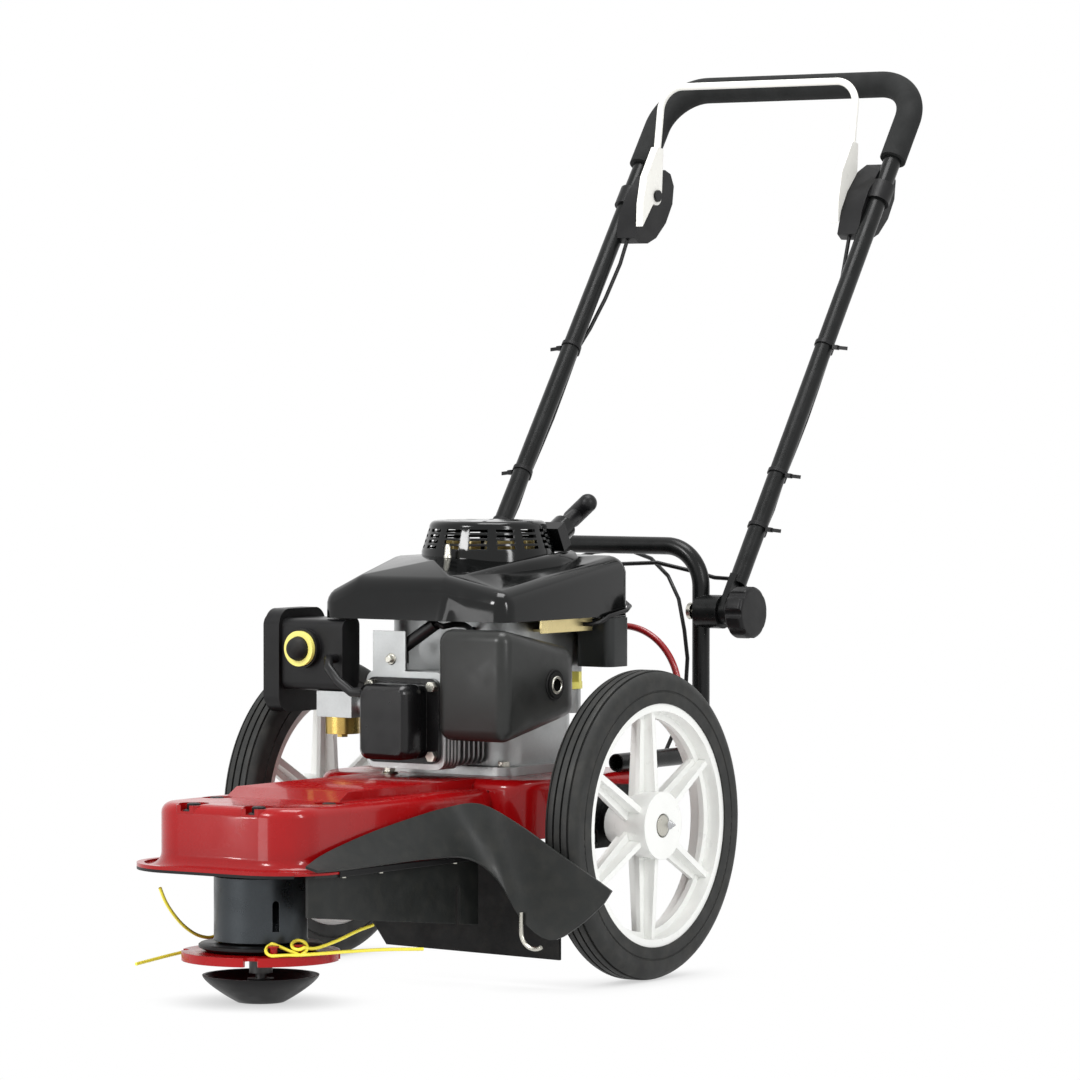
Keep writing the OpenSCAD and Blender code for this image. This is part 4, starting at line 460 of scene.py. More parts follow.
def linked(name: str, data: bpy.types.ID) -> Object:
    """Links data as an object at the origin.

    Args:
        name: the object's name.
        data: its mesh, curve, camera or lamp.

    Returns:
        The object.
    """
    obj = bpy.data.objects.new(name, data)
    bpy.context.scene.collection.objects.link(obj)
    return obj


def new_piece(name: str, mesh: Mesh, finish: Finish) -> Object:
    """Links a mesh as a piece with one finish.

    Args:
        name: the piece's name.
        mesh: its mesh.
        finish: its finish.

    Returns:
        The piece.
    """
    mesh.materials.clear()
    mesh.materials.append(finish.material())
    return linked(name, mesh)


@contextmanager
def editing(mesh: Mesh, source: Mesh | None = None) -> Iterator[bmesh.types.BMesh]:
    """Opens a mesh for editing and writes the result back.

    Args:
        mesh: the mesh to write.
        source: the mesh to start from, if it is another.

    Returns:
        The open mesh.
    """
    work = bmesh.new()
    work.from_mesh(source or mesh)
    yield work
    work.to_mesh(mesh)
    work.free()


def shade(mesh: Mesh, degrees: float) -> None:
    """Smooths a mesh and keeps edges over an angle sharp.

    Args:
        mesh: the mesh.
        degrees: the angle.
    """
    limit = math.radians(degrees)
    with editing(mesh) as work:
        for face in work.faces:
            face.smooth = True
        for edge in work.edges:
            edge.smooth = len(edge.link_faces) == 2 and edge.calc_face_angle(0) < limit


def report(obj: Object) -> Object:
    """Logs a finished piece and hands it on."""
    LOG.info("%s: %d faces", obj.name, len(obj.data.polygons))
    return obj


def settle(obj: Object, body: str) -> Object:
    """Lets a piece ride on a body.

    Args:
        obj: the piece.
        body: the body.

    Returns:
        The piece.
    """
    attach(obj, body)
    return report(obj)


def follow(obj: Object) -> None:
    """Bakes a piece's place into its mesh and logs it; it rides on no body.

    Args:
        obj: the piece.
    """
    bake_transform(obj)
    report(obj)


@dataclass(frozen=True)
class Skin:
    """A welded and smoothed copy of a CAD node, which stands for that node."""

    WELD = 0.01 * MM
    FLAT = math.radians(0.4)

    node: str
    finish: Finish
    angle: float = 40.0

    def copy(self, frame: dict, name: str) -> Object:
        """Makes the copy, which rides on nothing yet.

        Args:
            name: the piece's name.

        Returns:
            The piece.
        """
        mesh = bpy.data.meshes.new(name)
        with editing(mesh, frame["nodes"][self.node].data) as work:
            bmesh.ops.remove_doubles(work, verts=work.verts, dist=self.WELD)
            bmesh.ops.dissolve_degenerate(work, dist=self.WELD, edges=work.edges)
            bmesh.ops.dissolve_limit(work, angle_limit=self.FLAT, use_dissolve_boundaries=False,
                                     verts=work.verts, edges=work.edges)
        shade(mesh, self.angle)
        return new_piece(name, mesh, self.finish)

    def build(self, frame: dict) -> Object:
        """Makes the copy and lets it ride on the node's body in the node's place.


        Returns:
            The piece.
        """
        obj = self.copy(frame, f"{self.node}_skin")
        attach(obj, frame["nodes"][self.node]["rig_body"])
        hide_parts(self.node)
        return report(obj)


def turned(name: str, profile: Sequence[Span], at: Point, axis: Point, finish: Finish,
           count: int = 40) -> Object:
    """Makes a turned piece from a half outline.

    Args:
        name: the piece's name.
        profile: radius and height of each point of the outline.
        at: the place of height zero.
        axis: the direction of height.
        finish: the finish.
        count: facets round the axis.

    Returns:
        The piece.
    """
    mesh = bpy.data.meshes.new(name)
    turn = Vector(axis).to_track_quat("Z", "Y").to_matrix().to_4x4()
    with editing(mesh) as work:
        spots = [work.verts.new((radius * MM, 0, height * MM)) for radius, height in profile]
        edges = [work.edges.new(pair) for pair in zip(spots, spots[1:])]
        bmesh.ops.spin(work, geom=spots + edges, cent=(0, 0, 0), axis=UP, angle=math.tau,
                       steps=count, use_merge=True)
        bmesh.ops.remove_doubles(work, verts=work.verts, dist=Skin.WELD / 2)
        bmesh.ops.recalc_face_normals(work, faces=work.faces)
        bmesh.ops.transform(work, matrix=Matrix.Translation(Vector(at) * MM) @ turn,
                            verts=work.verts)
    shade(mesh, CREASE)
    return new_piece(name, mesh, finish)


def guide(name: str, points: Sequence[Point], facing: Sequence[Point] = ()) -> Mesh:
    """Makes what a node tree works on: loose points that face a way each, or else a route.

    Args:
        name: the mesh's name.
        points: the points.
        facing: a direction for each loose point.

    Returns:
        The mesh.
    """
    mesh = bpy.data.meshes.new(name)
    edges = [] if facing else [(i, i + 1) for i in range(len(points) - 1)]
    mesh.from_pydata([metres(point) for point in points], edges, [])
    if facing:
        store = mesh.attributes.new(PieceTree.FACING, "FLOAT_VECTOR", "POINT")
        for item, way in zip(store.data, facing):
            item.vector = way
    return mesh


# ---- pieces from node trees


class PieceTree(Tree):
    """A geometry node tree with named sizes, which leaves one plain piece."""

    FACING = "facing"

    def __init__(self, name: str, finish: Finish, **sizes: float) -> None:
        """Starts the tree.

        Args:
            name: the tree's name.
            finish: the piece's finish.
            sizes: its named inputs and their values; a whole number is a count.
        """
        super().__init__(bpy.data.node_groups.new(name, "GeometryNodeTree"))
        self.finish = finish
        sockets = self.tree.interface
        sockets.new_socket("Geometry", in_out="INPUT", socket_type="NodeSocketGeometry")
        self.inputs: dict[str, float] = {}
        for key, value in sizes.items():
            count = isinstance(value, int)
            kind = "NodeSocketInt" if count else "NodeSocketFloat"
            socket = sockets.new_socket(key, in_out="INPUT", socket_type=kind)
            self.inputs[socket.identifier] = value if count else value * MM
        sockets.new_socket("Geometry", in_out="OUTPUT", socket_type="NodeSocketGeometry")
        self.start = self.add("NodeGroupInput")

    def size(self, key: str) -> Socket:
        """Returns a named input."""
        return self.start.outputs[key]

    def share(self, key: str, factor: float) -> Socket:
        """Returns a share of a named size."""
        return self.calc("MULTIPLY", self.size(key), factor)

    def triple(self, x: Socket | float = 0.0, y: Socket | float = 0.0,
               z: Socket | float = 0.0) -> Socket:
        """Returns three values as a vector."""
        return self.add("ShaderNodeCombineXYZ", {"X": x, "Y": y, "Z": z}).outputs[0]

    def solid(self, kind: str, **inputs: Any) -> Socket:
        """Returns a mesh primitive; an input's name has _ for a space."""
        named = {key.replace("_", " "): value for key, value in inputs.items()}
        return self.add(f"GeometryNodeMesh{kind}", named).outputs["Mesh"]

    def raised(self, shape: Socket, height: Socket) -> Socket:
        """Returns a shape moved up by a height."""
        inputs = {"Geometry": shape, "Translation": self.triple(z=height)}
        return self.add("GeometryNodeTransform", inputs).outputs[0]

    def joined(self, *shapes: Socket) -> Socket:
        """Joins shapes.

        Args:
            shapes: the shapes.

        Returns:
            All of them as one.
        """
        node = self.add("GeometryNodeJoinGeometry")
        for shape in reversed(shapes):
            self.tree.links.new(shape, node.inputs[0])
        return node.outputs[0]

    def spread(self, points: Socket, shape: Socket, axis: str, way: Socket) -> Socket:
        """Sets a shape on points.

        Args:
            points: the points.
            shape: the shape.
            axis: the shape's axis that is turned.
            way: the direction that it is turned to at each point.

        Returns:
            The instances.
        """
        turn = self.add("FunctionNodeAlignRotationToVector", {"Vector": way}, axis=axis)
        inputs = {"Points": points, "Instance": shape, "Rotation": turn.outputs["Rotation"]}
        return self.add("GeometryNodeInstanceOnPoints", inputs).outputs["Instances"]

    def stood(self, shape: Socket) -> Socket:
        """Stands a shape on each point of the mesh, the way the point faces.

        Args:
            shape: the shape.

        Returns:
            The instances.
        """
        way = self.add("GeometryNodeInputNamedAttribute", {"Name": self.FACING},
                       data_type="FLOAT_VECTOR")
        return self.spread(self.size("Geometry"), shape, "Z", way.outputs["Attribute"])

    def end(self, shape: Socket) -> None:
        """Closes the tree: real instances, then the material, then the output.

        Args:
            shape: what the tree made.
        """
        real = self.add("GeometryNodeRealizeInstances", {0: shape})
        paint = {"Geometry": real.outputs[0], "Material": self.finish.material()}
        self.add("NodeGroupOutput", {0: self.add("GeometryNodeSetMaterial", paint).outputs[0]})

    def make(self, name: str, mesh: Mesh, body: str, slot: str) -> Object:
        """Runs the tree on a mesh and leaves a plain piece.

        Args:
            name: the piece's name.
            mesh: the points or the route that the tree works on.
            body: the body that the piece rides on.
            slot: the record's material slot; not used.

        Returns:
            The piece.
        """
        obj = new_piece(name, mesh, self.finish)
        modifier = obj.modifiers.new("tree", "NODES")
        modifier.node_group = self.tree
        for key, value in self.inputs.items():
            modifier[key] = value
        bpy.context.view_layer.update()
        graph = bpy.context.evaluated_depsgraph_get()
        plain = bpy.data.meshes.new_from_object(
            obj.evaluated_get(graph), preserve_all_data_layers=True, depsgraph=graph)
        obj.modifiers.clear()
        obj.data = plain
        bpy.data.meshes.remove(mesh)
        shade(plain, CREASE)
        return settle(obj, body)


# radii of a bolt head as shares of its width, and the height of its cap as a share of its own
HEXAGON_R, CAP_R, CAP_TOP_R, COLLAR_R, COLLAR_TOP_R = 0.577, 0.5, 0.42, 0.86, 0.7
CAP_H = 0.12


def set_bolts(name: str, places: Sequence[Point], way: Point, size: Point, finish: Finish,
              slot: str) -> None:
    """Sets flanged hexagon heads on the chassis.

    Args:
        name: the piece's name.
        places: where the heads sit.
        way: the direction that they face.
        size: width across the flats, height of the hexagon and height of the flange.
        finish: the finish.
        slot: the record's material slot.
    """
    tree = PieceTree(f"{name}_tree", finish, Width=size[0], Height=size[1], Flange=size[2])
    height, flange = tree.size("Height"), tree.size("Flange")
    hexagon = tree.solid("Cylinder", Vertices=6, Radius=tree.share("Width", HEXAGON_R),
                         Depth=height)
    cap = tree.solid("Cone", Vertices=24, Radius_Bottom=tree.share("Width", CAP_R),
                     Radius_Top=tree.share("Width", CAP_TOP_R), Depth=tree.share("Height", CAP_H))
    collar = tree.solid("Cone", Vertices=28, Radius_Bottom=tree.share("Width", COLLAR_R),
                        Radius_Top=tree.share("Width", COLLAR_TOP_R), Depth=flange)
    middle = tree.calc("ADD", tree.share("Height", 0.5), flange)
    top = tree.calc("ADD", height, flange)
    tree.end(tree.stood(tree.joined(tree.raised(hexagon, middle), tree.raised(cap, top), collar)))
    tree.make(name, guide(name, places, [way] * len(places)), "chassis", slot)


# ---- studio


def aimed(obj: Object, place: Sequence[float], aim: Sequence[float]) -> None:
    """Puts a camera or a lamp at a place and points it at another.

    Args:
        obj: the camera or lamp.
        place: where it stands.
        aim: where it points.
    """
    obj.location = place
    way = Vector(aim) - Vector(place)
    obj.rotation_euler = way.to_track_quat("-Z", "Y").to_euler()


@dataclass(frozen=True)
class SoftBox:
    """A soft box: its place, its width and height, its watts and what it lights, in metres."""

    name: str
    place: Point
    size: Span
    power: float
    aim: Point = (0.0, 0.4, 0.4)

    def hang(self) -> None:
        """Hangs the lamp."""
        data = bpy.data.lights.new(self.name, "AREA")
        data.shape = "RECTANGLE"
        data.size, data.size_y = self.size
        data.energy = self.power
        aimed(linked(self.name, data), self.place, self.aim)


@dataclass
class Studio:
    """The camera at the photograph's view, the lamps and the pale floor, in metres."""

    target: Point = (0.084112, 0.4249, 0.5026)
    azimuth: float = 34.388
    elevation: float = 1.70
    distance: float = 6.2842
    lens: float = 180.32
    sensor: float = 36.0
    far: float = 60.0
    world_strength: float = 0.55
    lamps: tuple[SoftBox, ...] = (
        SoftBox("key", (-0.7, -2.6, 2.4), (0.8, 0.8), 64),
        SoftBox("side", (2.9, -0.4, 1.7), (0.4, 1.4), 34),
        SoftBox("top", (0.2, 0.5, 3.0), (1.3, 1.3), 46),
        SoftBox("low", (-0.9, -3.0, 0.5), (1.4, 0.6), 12, (0.0, 0.0, 0.1)),
        SoftBox("strip", (-1.75, -2.5, 0.42), (0.06, 0.3), 3, (0.0, -0.05, 0.2)),
    )
    floor_half: float = 12.0
    floor_z: float = -0.0006
    floor_grey: float = 0.8
    shadow_reach: float = 0.12
    shadow_span: Span = (0.0, 0.8)
    shadow_light: Span = (0.55, 1.0)

    def build(self) -> None:
        """Builds the camera, world, lamps and floor."""
        self._camera()
        self._world()
        for lamp in self.lamps:
            lamp.hang()
        self._floor()
        bpy.context.scene.view_settings.view_transform = "Standard"

    def _camera(self) -> None:
        """Places the camera."""
        data = bpy.data.cameras.new("camera")
        data.lens = self.lens
        data.sensor_width = self.sensor
        data.clip_end = self.far
        cam = linked("camera", data)
        a, e = math.radians(self.azimuth), math.radians(self.elevation)
        back = Vector((math.sin(a) * math.cos(e), -math.cos(a) * math.cos(e), math.sin(e)))
        aimed(cam, Vector(self.target) + back * self.distance, self.target)
        bpy.context.scene.camera = cam

    def _parted(self, tree: Tree, lit: Socket, seen: Socket, output: str) -> None:
        """Ends a tree with one shader for light and one for camera, glossy and clear rays.

        Args:
            tree: the tree.
            lit: the shader that lights the object.
            seen: the shader that shows.
            output: the output node's type.
        """
        path = tree.add("ShaderNodeLightPath").outputs
        eye = path["Is Camera Ray"]
        for key in ("Is Glossy Ray", "Is Transmission Ray"):
            eye = tree.calc("MAXIMUM", eye, path[key])
        mix = tree.add("ShaderNodeMixShader", {"Fac": eye, 1: lit, 2: seen})
        tree.add(output, {"Surface": mix.outputs[0]})

    def _world(self) -> None:
        """Lights the scene softly and shows white behind it."""
        world = bpy.data.worlds.new("studio")
        bpy.context.scene.world = world
        world.use_nodes = True
        tree = Tree(world.node_tree)
        lit, seen = (
            tree.add("ShaderNodeBackground", {"Color": (1, 1, 1, 1), "Strength": strength})
            for strength in (self.world_strength, 1.0))
        self._parted(tree, lit.outputs[0], seen.outputs[0], "ShaderNodeOutputWorld")

    def _floor(self) -> None:
        """Lays a pale floor that keeps a soft contact shadow."""
        half, z = self.floor_half, self.floor_z
        mesh = bpy.data.meshes.new("floor")
        corners = [(-half, -half, z), (half, -half, z), (half, half, z), (-half, half, z)]
        mesh.from_pydata(corners, [], [(0, 1, 2, 3)])
        floor = linked("floor", mesh)
        mat = bpy.data.materials.new("floor_white")
        mat.use_nodes = True
        shader = Shader(mat.node_tree)
        matt = shader.add("ShaderNodeBsdfDiffuse", {"Color": (*[self.floor_grey] * 3, 1)})
        near = shader.add("ShaderNodeAmbientOcclusion", {"Distance": self.shadow_reach})
        light = shader.span(near.outputs["AO"], self.shadow_span, self.shadow_light)
        glow = shader.add("ShaderNodeEmission", {"Strength": light})
        self._parted(shader, matt.outputs[0], glow.outputs[0], "ShaderNodeOutputMaterial")
        mesh.materials.append(mat)


# ---- cutting line


def smooth_route(points: Sequence[Point], steps: int = 4) -> list[Point]:
    """Rounds a route with Catmull-Rom pieces through its points.

    Args:
        points: the route.
        steps: pieces between two points.

    Returns:
        The finer route.
    """
    spots = [Vector(p) for p in points]
    spots = [2 * spots[0] - spots[1], *spots, 2 * spots[-1] - spots[-2]]
    fine: list[Point] = []
    for p0, p1, p2, p3 in zip(spots, spots[1:], spots[2:], spots[3:]):
        for t in (k / steps for k in range(steps)):
            spot = (2 * p1 + (p2 - p0) * t + (2 * p0 - 5 * p1 + 4 * p2 - p3) * t * t
                    + (3 * p1 - p0 - 3 * p2 + p3) * t ** 3)
            fine.append(tuple(0.5 * spot))
    fine.append(tuple(spots[-2]))
    return fine


@dataclass
class CuttingLine:
    """A length of trimmer line hooked round two posts, with two free ends."""

    node: str
    half: float
    first_tip: Sequence[Point]
    last_tip: Sequence[Point]
    diameter: float = 3.9
    post_reach: float = 78.0
    post_turns: Span = (-19.8, -42.3)
    # steps, first angle and last angle round each post
    wraps: tuple[tuple[int, float, float], ...] = ((17, -17.0, -416.2), (9, 123.8, 320.5))
    loop_r: float = 8.4
    loop_z: float = 59.3
    climb: float = 6.5
    lean: float = 5.5
    lean_turn: float = 124.4

    def _wrap(self, post: int, drop: float) -> list[Point]:
        """Walks round one post.

        Args:
            post: 0 or 1.
            drop: how far the line comes down on its way.

        Returns:
            The points.
        """
        count, start, stop = self.wraps[post]
        seat = math.radians(self.post_turns[post] + self.half)
        points = []
        for share in (i / count for i in range(count + 1)):
            turn = start + (stop - start) * share
            a = math.radians(self.half + turn)
            rise = self.lean * (1 + math.cos(math.radians(turn - self.lean_turn)))
            points.append((self.post_reach * math.cos(seat) + self.loop_r * math.cos(a),
                           self.post_reach * math.sin(seat) + self.loop_r * math.sin(a),
                           self.loop_z + drop * (1 - share) + rise))
        return points

    def _tube(self, name: str, points: Sequence[Point]) -> Object:
        """Makes a round tube along points.

        Args:
            name: the piece's name.
            points: the route.

        Returns:
            The curve object.
        """
        data = bpy.data.curves.new(name, "CURVE")
        data.dimensions = "3D"
        data.bevel_depth = self.diameter * MM / 2
        data.bevel_resolution = 4
        data.use_fill_caps = True
        spline = data.splines.new("POLY")
        spline.points.add(len(points) - 1)
        for spot, point in zip(spline.points, points):
            spot.co = (*metres(point), 1)
        spline.use_smooth = True
        data.materials.append(LINE_NYLON.material())
        return linked(name, data)

    def build(self) -> None:
        """Builds the wound length with one strand, and the other strand."""
        wound = self._wrap(0, self.climb) + self._wrap(1, 0.0)
        routes = {"long": [*wound, *self.last_tip],
                  "short": [wound[0], *reversed(self.first_tip)]}
        for key, points in routes.items():
            fine = smooth_route(points)
            obj = self._tube(f"{self.node}_{key}", fine)
            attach(obj, "trimmer_head")
            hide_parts(self.node)


# ---- the object


class Side(Enum):
    """A side of the machine, as the operator sees it; the value is the sign of X."""

    LEFT = 1
    RIGHT = -1

    @property
    def label(self) -> str:
        """The side's name within the names of pieces."""
        return self.name.lower()


@dataclass
class SubAssembly:
    """A group of pieces that belong together: skins of CAD nodes, and dressing on them."""

    frame: dict
    skins: tuple[Skin, ...] = ()

    def build(self) -> None:
        """Builds the skins, and then the dressing."""
        for skin in self.skins:
            skin.build(self.frame)
        self.dress()

    def dress(self) -> None:
        """Adds what only the looks need; a group without it adds nothing."""


@dataclass
class Chassis(SubAssembly):
    """The stamped deck, its brackets and the tube frame behind it."""

    skins: tuple[Skin, ...] = (
        Skin("deck_pan", RED_PAINT, 32),
        Skin("axle_brackets", BLACK_COAT),
        Skin("lower_frame", BLACK_COAT),
        Skin("guard_hoop", HOOP_PAINT),
        Skin("rear_apron", FLAP_RUBBER),
        Skin("chassis_bolts", ZINC),
    )
    lip_x: float = 129.0
    lip_z: float = 149.9
    lip_span: Span = (-28.0, 250.0)
    strip: Span = (3.0, 7.0)
    strip_steps: int = 12
    strip_ease: float = 0.3
    ease_steps: int = 3
    edge_share: float = 0.45
    pockets: tuple[Point, ...] = (
        (45.0, -62.0, 214.0), (-45.0, -62.0, 214.0), (78.0, 22.0, 214.0), (-78.0, 22.0, 214.0))
    pocket_bolt: Point = (14.4, 6.2, 1.6)
    tall_bolt: Point = (12.0, 9.0, 2.4)
    tall_bolt_at: Point = (-52.0, 316.0, 232.0)

    def _paint_lip(self) -> None:
        """Builds the lip's edging: painted like the deck on top, black along its lower edge."""
        piece = Skin("lip_edging", LIP_EDGE_BLACK).build(self.frame)
        low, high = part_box("lip_edging")
        level = low[2] + self.edge_share * (high[2] - low[2])
        with editing(piece.data) as work:
            bmesh.ops.bisect_plane(work, geom=[*work.verts, *work.edges, *work.faces],
                                   plane_co=(0, 0, level), plane_no=UP)
            for face in work.faces:
                face.material_index = int(face.calc_center_median().z > level)
        piece.data.materials.append(RED_PAINT.material())

    def _strip(self) -> None:
        """Runs a flat strip with eased corners along the left of the lip."""
        width, height = self.strip
        tree = PieceTree("strip_tree", LIP_EDGE_BLACK, Width=width, Height=height)
        route = tree.add("GeometryNodeMeshToCurve", {"Mesh": tree.size("Geometry")})
        shape = tree.add("GeometryNodeCurvePrimitiveQuadrilateral",
                         {"Width": tree.size("Width"), "Height": tree.size("Height")})
        corner = {"Curve": shape.outputs[0], "Radius": tree.share("Width", self.strip_ease),
                  "Count": self.ease_steps}
        eased = tree.add("GeometryNodeFilletCurve", corner, mode="POLY")
        strip = {"Curve": route.outputs[0], "Profile Curve": eased.outputs[0], "Fill Caps": True}
        tree.end(tree.add("GeometryNodeCurveToMesh", strip).outputs[0])
        start, stop = self.lip_span
        step = (stop - start) / self.strip_steps
        places = [(self.lip_x, start + step * i, self.lip_z) for i in range(self.strip_steps + 1)]
        tree.make("lip_strip", guide("lip_strip", places), "chassis", "rubber")

    def dress(self) -> None:
        """Paints the lip, runs the black strip along it and sets the deck's bolts."""
        self._paint_lip()
        self._strip()
        set_bolts("pocket_bolts", self.pockets, UP, self.pocket_bolt, MATT_BLACK, "black_plastic")
        set_bolts("deck_bolt", [self.tall_bolt_at], UP, self.tall_bolt, ZINC, "steel")


@dataclass
class SideShield(SubAssembly):
    """The black wing and skirt under the left lip, with the bent hook."""

    skins: tuple[Skin, ...] = (
        Skin("shield_wing", SHIELD_PLASTIC, 50),
        Skin("shield_skirt", SHIELD_PLASTIC),
        Skin("shield_hook", ZINC),
    )


@dataclass
class CutterHead(SubAssembly):
    """The wrap guard, the turning disc with its cutting lines, and the glide foot."""

    skins: tuple[Skin, ...] = (
        Skin("wrap_guard", GUARD_STEEL),
        Skin("spindle_housing", CAST_ALLOY),
        Skin("spindle_shaft", DARK_STEEL),
        Skin("head_pulley", STEEL),
        Skin("head_flange", MATT_BLACK),
        Skin("trimmer_disc", DISC_RED),
        Skin("glide_foot", MATT_BLACK),
    )
    lines: tuple[CuttingLine, ...] = (
        CuttingLine(
            "line_one", 0.0,
            ((103, 70, 85), (97, 50, 80), (91, 24, 72), (86, 0, 66.4), (83, -14, 64.7)),
            ((72, -45, 59.4), (83, -34, 59.6), (91, -15, 59.6), (104, 14, 60), (126, 58, 60),
             (148, 102, 58))),
        CuttingLine(
            "line_two", 180.0,
            ((-92, -63, 126), (-93, -52, 110), (-92, -38, 94), (-90, -22, 80), (-87, -4, 69.5),
             (-83, 13, 65)),
            ((-72, 45, 59.8), (-83, 34, 60.2), (-90, 22, 58), (-95, 8, 53), (-100, -10, 50),
             (-106, -34, 47), (-111, -56, 44), (-114, -78, 41.5))),
    )

    def build_lines(self) -> None:
        """Builds the cutting lines, which come first in the scene."""
        for line in self.lines:
            line.build()


@dataclass
class Wheel(SubAssembly):
    """One white rim with its tyre and the axle tip in its hub."""

    side: Side = Side.LEFT
    axle: Span = (440.0, 178.0)
    tip_r: float = 7.3
    tip_l: float = 11.0
    tip_sunk: float = 2.0
    # shares of the tip's radius and length
    tip_cone: Outline = ((1, 0.1), (0.9, 0.18), (0.16, 0.96))

    def build(self) -> None:
        """Builds the tyre and the rim of this side, and then the tip."""
        self.skins = (Skin(f"{self.side.label}_tyre", TYRE_RUBBER),
                      Skin(f"{self.side.label}_rim", RIM_WHITE, 36))
        super().build()

    def dress(self) -> None:
        """Turns the coned end of the axle, which stands in the hub."""
        low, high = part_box("axle_brackets")
        end = (high if self.side is Side.LEFT else low)[0] / MM
        r, h, sunk = self.tip_r, self.tip_l, self.tip_sunk
        cone = ((0, -sunk), (r, -sunk), *((a * r, b * h) for a, b in self.tip_cone), (0, h))
        tip = turned(f"{self.side.label}_axle_tip", cone, (end, *self.axle),
                     (self.side.value, 0, 0), STEEL)
        settle(tip, "chassis")


def strand_of(work: bmesh.types.BMesh, side: Side) -> set[bmesh.types.BMVert]:
    """Finds the strand of a mesh that reaches furthest to one side.

    Args:
        work: the mesh.
        side: the side.

    Returns:
        The strand's points.
    """
    todo = [max(work.verts, key=lambda spot: side.value * spot.co.x)]
    found = set(todo)
    while todo:
        spot = todo.pop()
        fresh = {edge.other_vert(spot) for edge in spot.link_edges} - found
        found |= fresh
        todo.extend(fresh)
    return found


@dataclass(frozen=True)
class CableBend:
    """Where a lower cable leaves the chassis, and from where on it follows the handle."""

    side: Side
    ends: tuple[Point, Point]


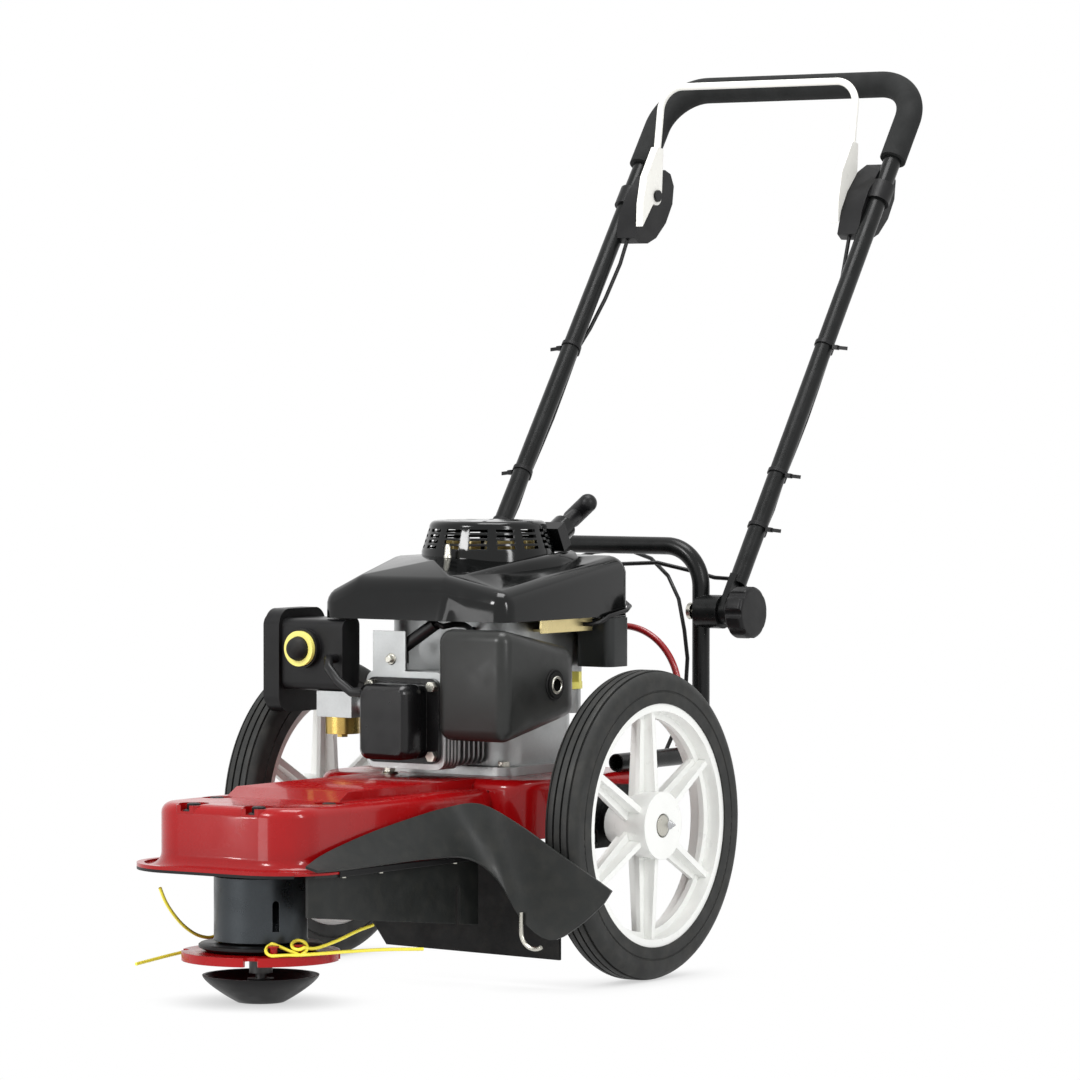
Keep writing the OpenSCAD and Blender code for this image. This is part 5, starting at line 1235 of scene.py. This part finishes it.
@dataclass
class Engine(SubAssembly):
    """The engine with its fuel, air, ignition and exhaust pieces, its rope and its cables."""

    skins: tuple[Skin, ...] = (
        Skin("engine_block", CAST_ALLOY),
        Skin("cylinder_head", CAST_ALLOY),
        Skin("rocker_cover", ROCKER_BLACK, 45),
        Skin("muffler", MUFFLER_PAINT, 45),
        # the outlet is painted near black for the shade of its recess
        Skin("muffler_outlet", OUTLET_SHADE),
        Skin("air_base", MATT_BLACK),
        Skin("air_cover", MATT_BLACK),
        Skin("primer_ring", YELLOW_PLASTIC),
        Skin("carburettor", CAST_ALLOY),
        Skin("float_bowl", BRASS_ZINC),
        Skin("spark_plug", STEEL),
        Skin("plug_lead", CABLE_JACKET),
        Skin("breather_hose", CABLE_JACKET),
        Skin("blower_shroud", GLOSS_BLACK, 45),
        Skin("starter_cover", GLOSS_BLACK),
        Skin("fuel_tank", TANK_PLASTIC),
        Skin("control_plate", GOLD_ZINC),
        Skin("starter_grip", MATT_BLACK),
        Skin("primer_bulb", FLAP_RUBBER),
        Skin("fuel_cap", MATT_BLACK),
        Skin("dipstick", YELLOW_PLASTIC),
    )
    cables: Skin = Skin("cable_lower", CABLE_JACKET, 60)
    cable_bends: tuple[CableBend, ...] = (
        CableBend(Side.LEFT, ((0.0, 700.0, 460.0), (0.0, 723.5, 460.0))),
        CableBend(Side.RIGHT, ((-30.0, 735.0, 470.0), (-155.0, 727.0, 455.0))),
    )
    rope_x: float = 60.0
    rope_r: float = 2.5
    rope_lay: Span = (0.84, 0.92)
    rope_rings: int = 12
    rope_tilt: float = 28.0
    rope_tuck: float = 12.0
    plate_bolt: Point = (8.0, 5.0, 1.4)
    plate_bolt_at: Point = (-20.0, 274.0, 367.6)
    stud_at: Point = (6.0, 350.0, 482.0)
    stud: Outline = ((0, 0), (4.6, 0), (4.6, 3), (3.9, 4), (3.4, 13), (2.2, 16), (0, 16.6))
    # profile of the dark disc that paints the outlet recess's shade, and its lift off the wall
    seat: Outline = ((11.5, 0), (18.0, 0), (18.2, 0.8), (17.0, 1.6), (13.0, 1.2), (11.5, 0.6),
                     (11.5, 0))
    seat_lift: float = 0.1
    ring: Outline = ((7.4, 0), (7.4, 1.6), (8.2, 2.2), (9.6, 2.2), (10.4, 1.4), (10.4, 0),
                     (7.4, 0))
    ring_sunk: float = 0.6
    vane_count: int = 14
    vane_ring_r: float = 40.0
    # thickness, depth and height of a blade
    vane: Point = (2.2, 30.0, 20.0)
    vanes_at: Point = (0.0, 440.0, 491.0)

    def _cables(self) -> None:
        """Builds the two lower cables, each one strand of the CAD node's copy."""
        for bend in self.cable_bends:
            piece = self.cables.copy(self.frame, f"cable_{bend.side.label}")
            with editing(piece.data) as work:
                keep = strand_of(work, bend.side)
                rest = [spot for spot in work.verts if spot not in keep]
                bmesh.ops.delete(work, geom=rest, context="VERTS")
            follow(piece)
            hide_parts(self.cables.node)

    def _rope(self) -> None:
        """Builds the starter rope, which lies tucked in its guide."""
        tilt = math.radians(self.rope_tilt)
        out = Vector((0, math.cos(tilt), math.sin(tilt)))
        _, y, z = (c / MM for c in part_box("starter_grip")[0])
        foot = Vector((self.rope_x, y + self.rope_r * out.z, z + self.rope_r * out.y))
        lay = [(self.rope_r * self.rope_lay[i % 2], self.rope_tuck * i / self.rope_rings)
               for i in range(self.rope_rings + 1)]
        rope = turned("starter_rope", [(0, 0), *lay, (0, self.rope_tuck)], foot, out,
                      CABLE_JACKET, count=16)
        follow(rope)

    def _outlet(self) -> None:
        """Turns a disc of painted shade round the outlet, and the ring at its mouth."""
        low, high = ([c / MM for c in corner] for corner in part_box("muffler_outlet"))
        middle = [(a + b) / 2 for a, b in zip(low[1:], high[1:])]
        # the disc is no part: it paints the shade of the outlet's recess on the muffler's wall
        seat = turned("outlet_seat", self.seat, (low[0] + self.seat_lift, *middle), (1, 0, 0),
                      OUTLET_SHADE, count=48)
        settle(seat, "chassis")
        ring = turned("outlet_ring", self.ring, (high[0] - self.ring_sunk, *middle), (1, 0, 0),
                      ZINC, count=48)
        settle(ring, "chassis")

    def _vanes(self) -> None:
        """Stands blades in a ring round the crankshaft, behind the starter's slots."""
        thick, deep, tall = self.vane
        tree = PieceTree("vane_tree", GOLD_ZINC, Count=self.vane_count, Radius=self.vane_ring_r,
                         Thick=thick, Deep=deep, Tall=tall)
        ring = tree.solid("Circle", Vertices=tree.size("Count"), Radius=tree.size("Radius"))
        blade = tree.triple(tree.size("Deep"), tree.size("Thick"), tree.size("Tall"))
        outwards = tree.add("GeometryNodeInputPosition").outputs[0]
        tree.end(tree.stood(tree.spread(ring, tree.solid("Cube", Size=blade), "X", outwards)))
        tree.make("starter_vanes", guide("starter_vanes", [self.vanes_at], [UP]), "crank", "brass")

    def dress(self) -> None:
        """Adds the cables, the rope, a bolt, the cowl stud, the outlet and the starter vanes."""
        self._cables()
        self._rope()
        set_bolts("plate_bolt", [self.plate_bolt_at], (0, -1, 0), self.plate_bolt, ZINC, "steel")
        settle(turned("cowl_stud", self.stud, self.stud_at, UP, ZINC), "chassis")
        self._outlet()
        self._vanes()


@dataclass
class Drive(SubAssembly):
    """What turns under the deck and in the blower."""

    skins: tuple[Skin, ...] = (
        Skin("crankshaft", STEEL),
        Skin("flywheel", DARK_CAST),
        Skin("drive_pulley", STEEL),
        Skin("drive_belt", BELT_RUBBER),
        Skin("idler_arm", ZINC),
        Skin("idler_pulley", MATT_BLACK),
    )


@dataclass
class Handle(SubAssembly):
    """The folding handle with its grip, bail, cables and ties."""

    skins: tuple[Skin, ...] = (
        Skin("upper_handle", BLACK_COAT),
        Skin("lever_housings", MATT_BLACK),
        Skin("cable_upper", CABLE_JACKET, 60),
        Skin("cable_ties", MATT_BLACK),
        Skin("bail", WHITE_COAT),
        Skin("left_knob", MATT_BLACK),
        Skin("right_knob", MATT_BLACK),
    )
    grip_fill: float = 0.9
    pivot: Span = (668.5, 412.8)
    tilt: float = 55.07
    tube_x: float = 186.6
    tie_out: float = 14.1
    tie_places: tuple[float, ...] = (118.0, 196.0, 385.0)
    tie_lean: Span = (0.12, -0.1)
    tie_lock: float = 7.0
    tie_tail: float = 15.0
    tie_strap: float = 4.4
    # shares of the lock, the strap's width and the tail's length
    lock_deep: float = 0.8
    lock_lift: float = 0.35
    strap_thick: float = 0.36
    tail_lift: float = 0.7

    def _ties(self) -> None:
        """Sets the locks and cut tails of the cable ties on the outsides of the tubes."""
        tree = PieceTree("tie_tree", MATT_BLACK, Lock=self.tie_lock, Tail=self.tie_tail,
                         Strap=self.tie_strap)
        lock, strap, tail = (tree.size(key) for key in ("Lock", "Strap", "Tail"))
        block = tree.solid("Cube", Size=tree.triple(tree.share("Lock", self.lock_deep), lock, lock))
        thick = tree.share("Strap", self.strap_thick)
        end = tree.solid("Cube", Size=tree.triple(strap, thick, tail))
        tree.end(tree.stood(tree.joined(tree.raised(block, tree.share("Lock", self.lock_lift)),
                                        tree.raised(end, tree.share("Tail", self.tail_lift)))))
        a = math.radians(self.tilt)
        y, z = self.pivot
        spots = [(side.value * (self.tube_x + self.tie_out), y + along * math.cos(a),
                  z + along * math.sin(a)) for along in self.tie_places for side in Side]
        ways = [(math.copysign(1, x), *self.tie_lean) for x, _, _ in spots]
        tree.make("tie_locks", guide("tie_locks", spots, ways), "handle", "black_plastic")

    def dress(self) -> None:
        """Adds the padded grip and the ties."""
        Skin("foam_grip", FOAM, 60).build(self.frame)
        self._ties()


def main() -> None:
    """Builds the studio and the sub-assemblies in order."""
    logging.basicConfig(level=logging.INFO, format="%(name)s: %(message)s")
    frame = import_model()
    Studio().build()
    cutter = CutterHead(frame)
    cutter.build_lines()
    groups: tuple[SubAssembly, ...] = (
        Chassis(frame), SideShield(frame), cutter, Wheel(frame, side=Side.LEFT),
        Wheel(frame, side=Side.RIGHT), Engine(frame), Drive(frame), Handle(frame))
    for group in groups:
        group.build()


if __name__ == "__main__":
    main()
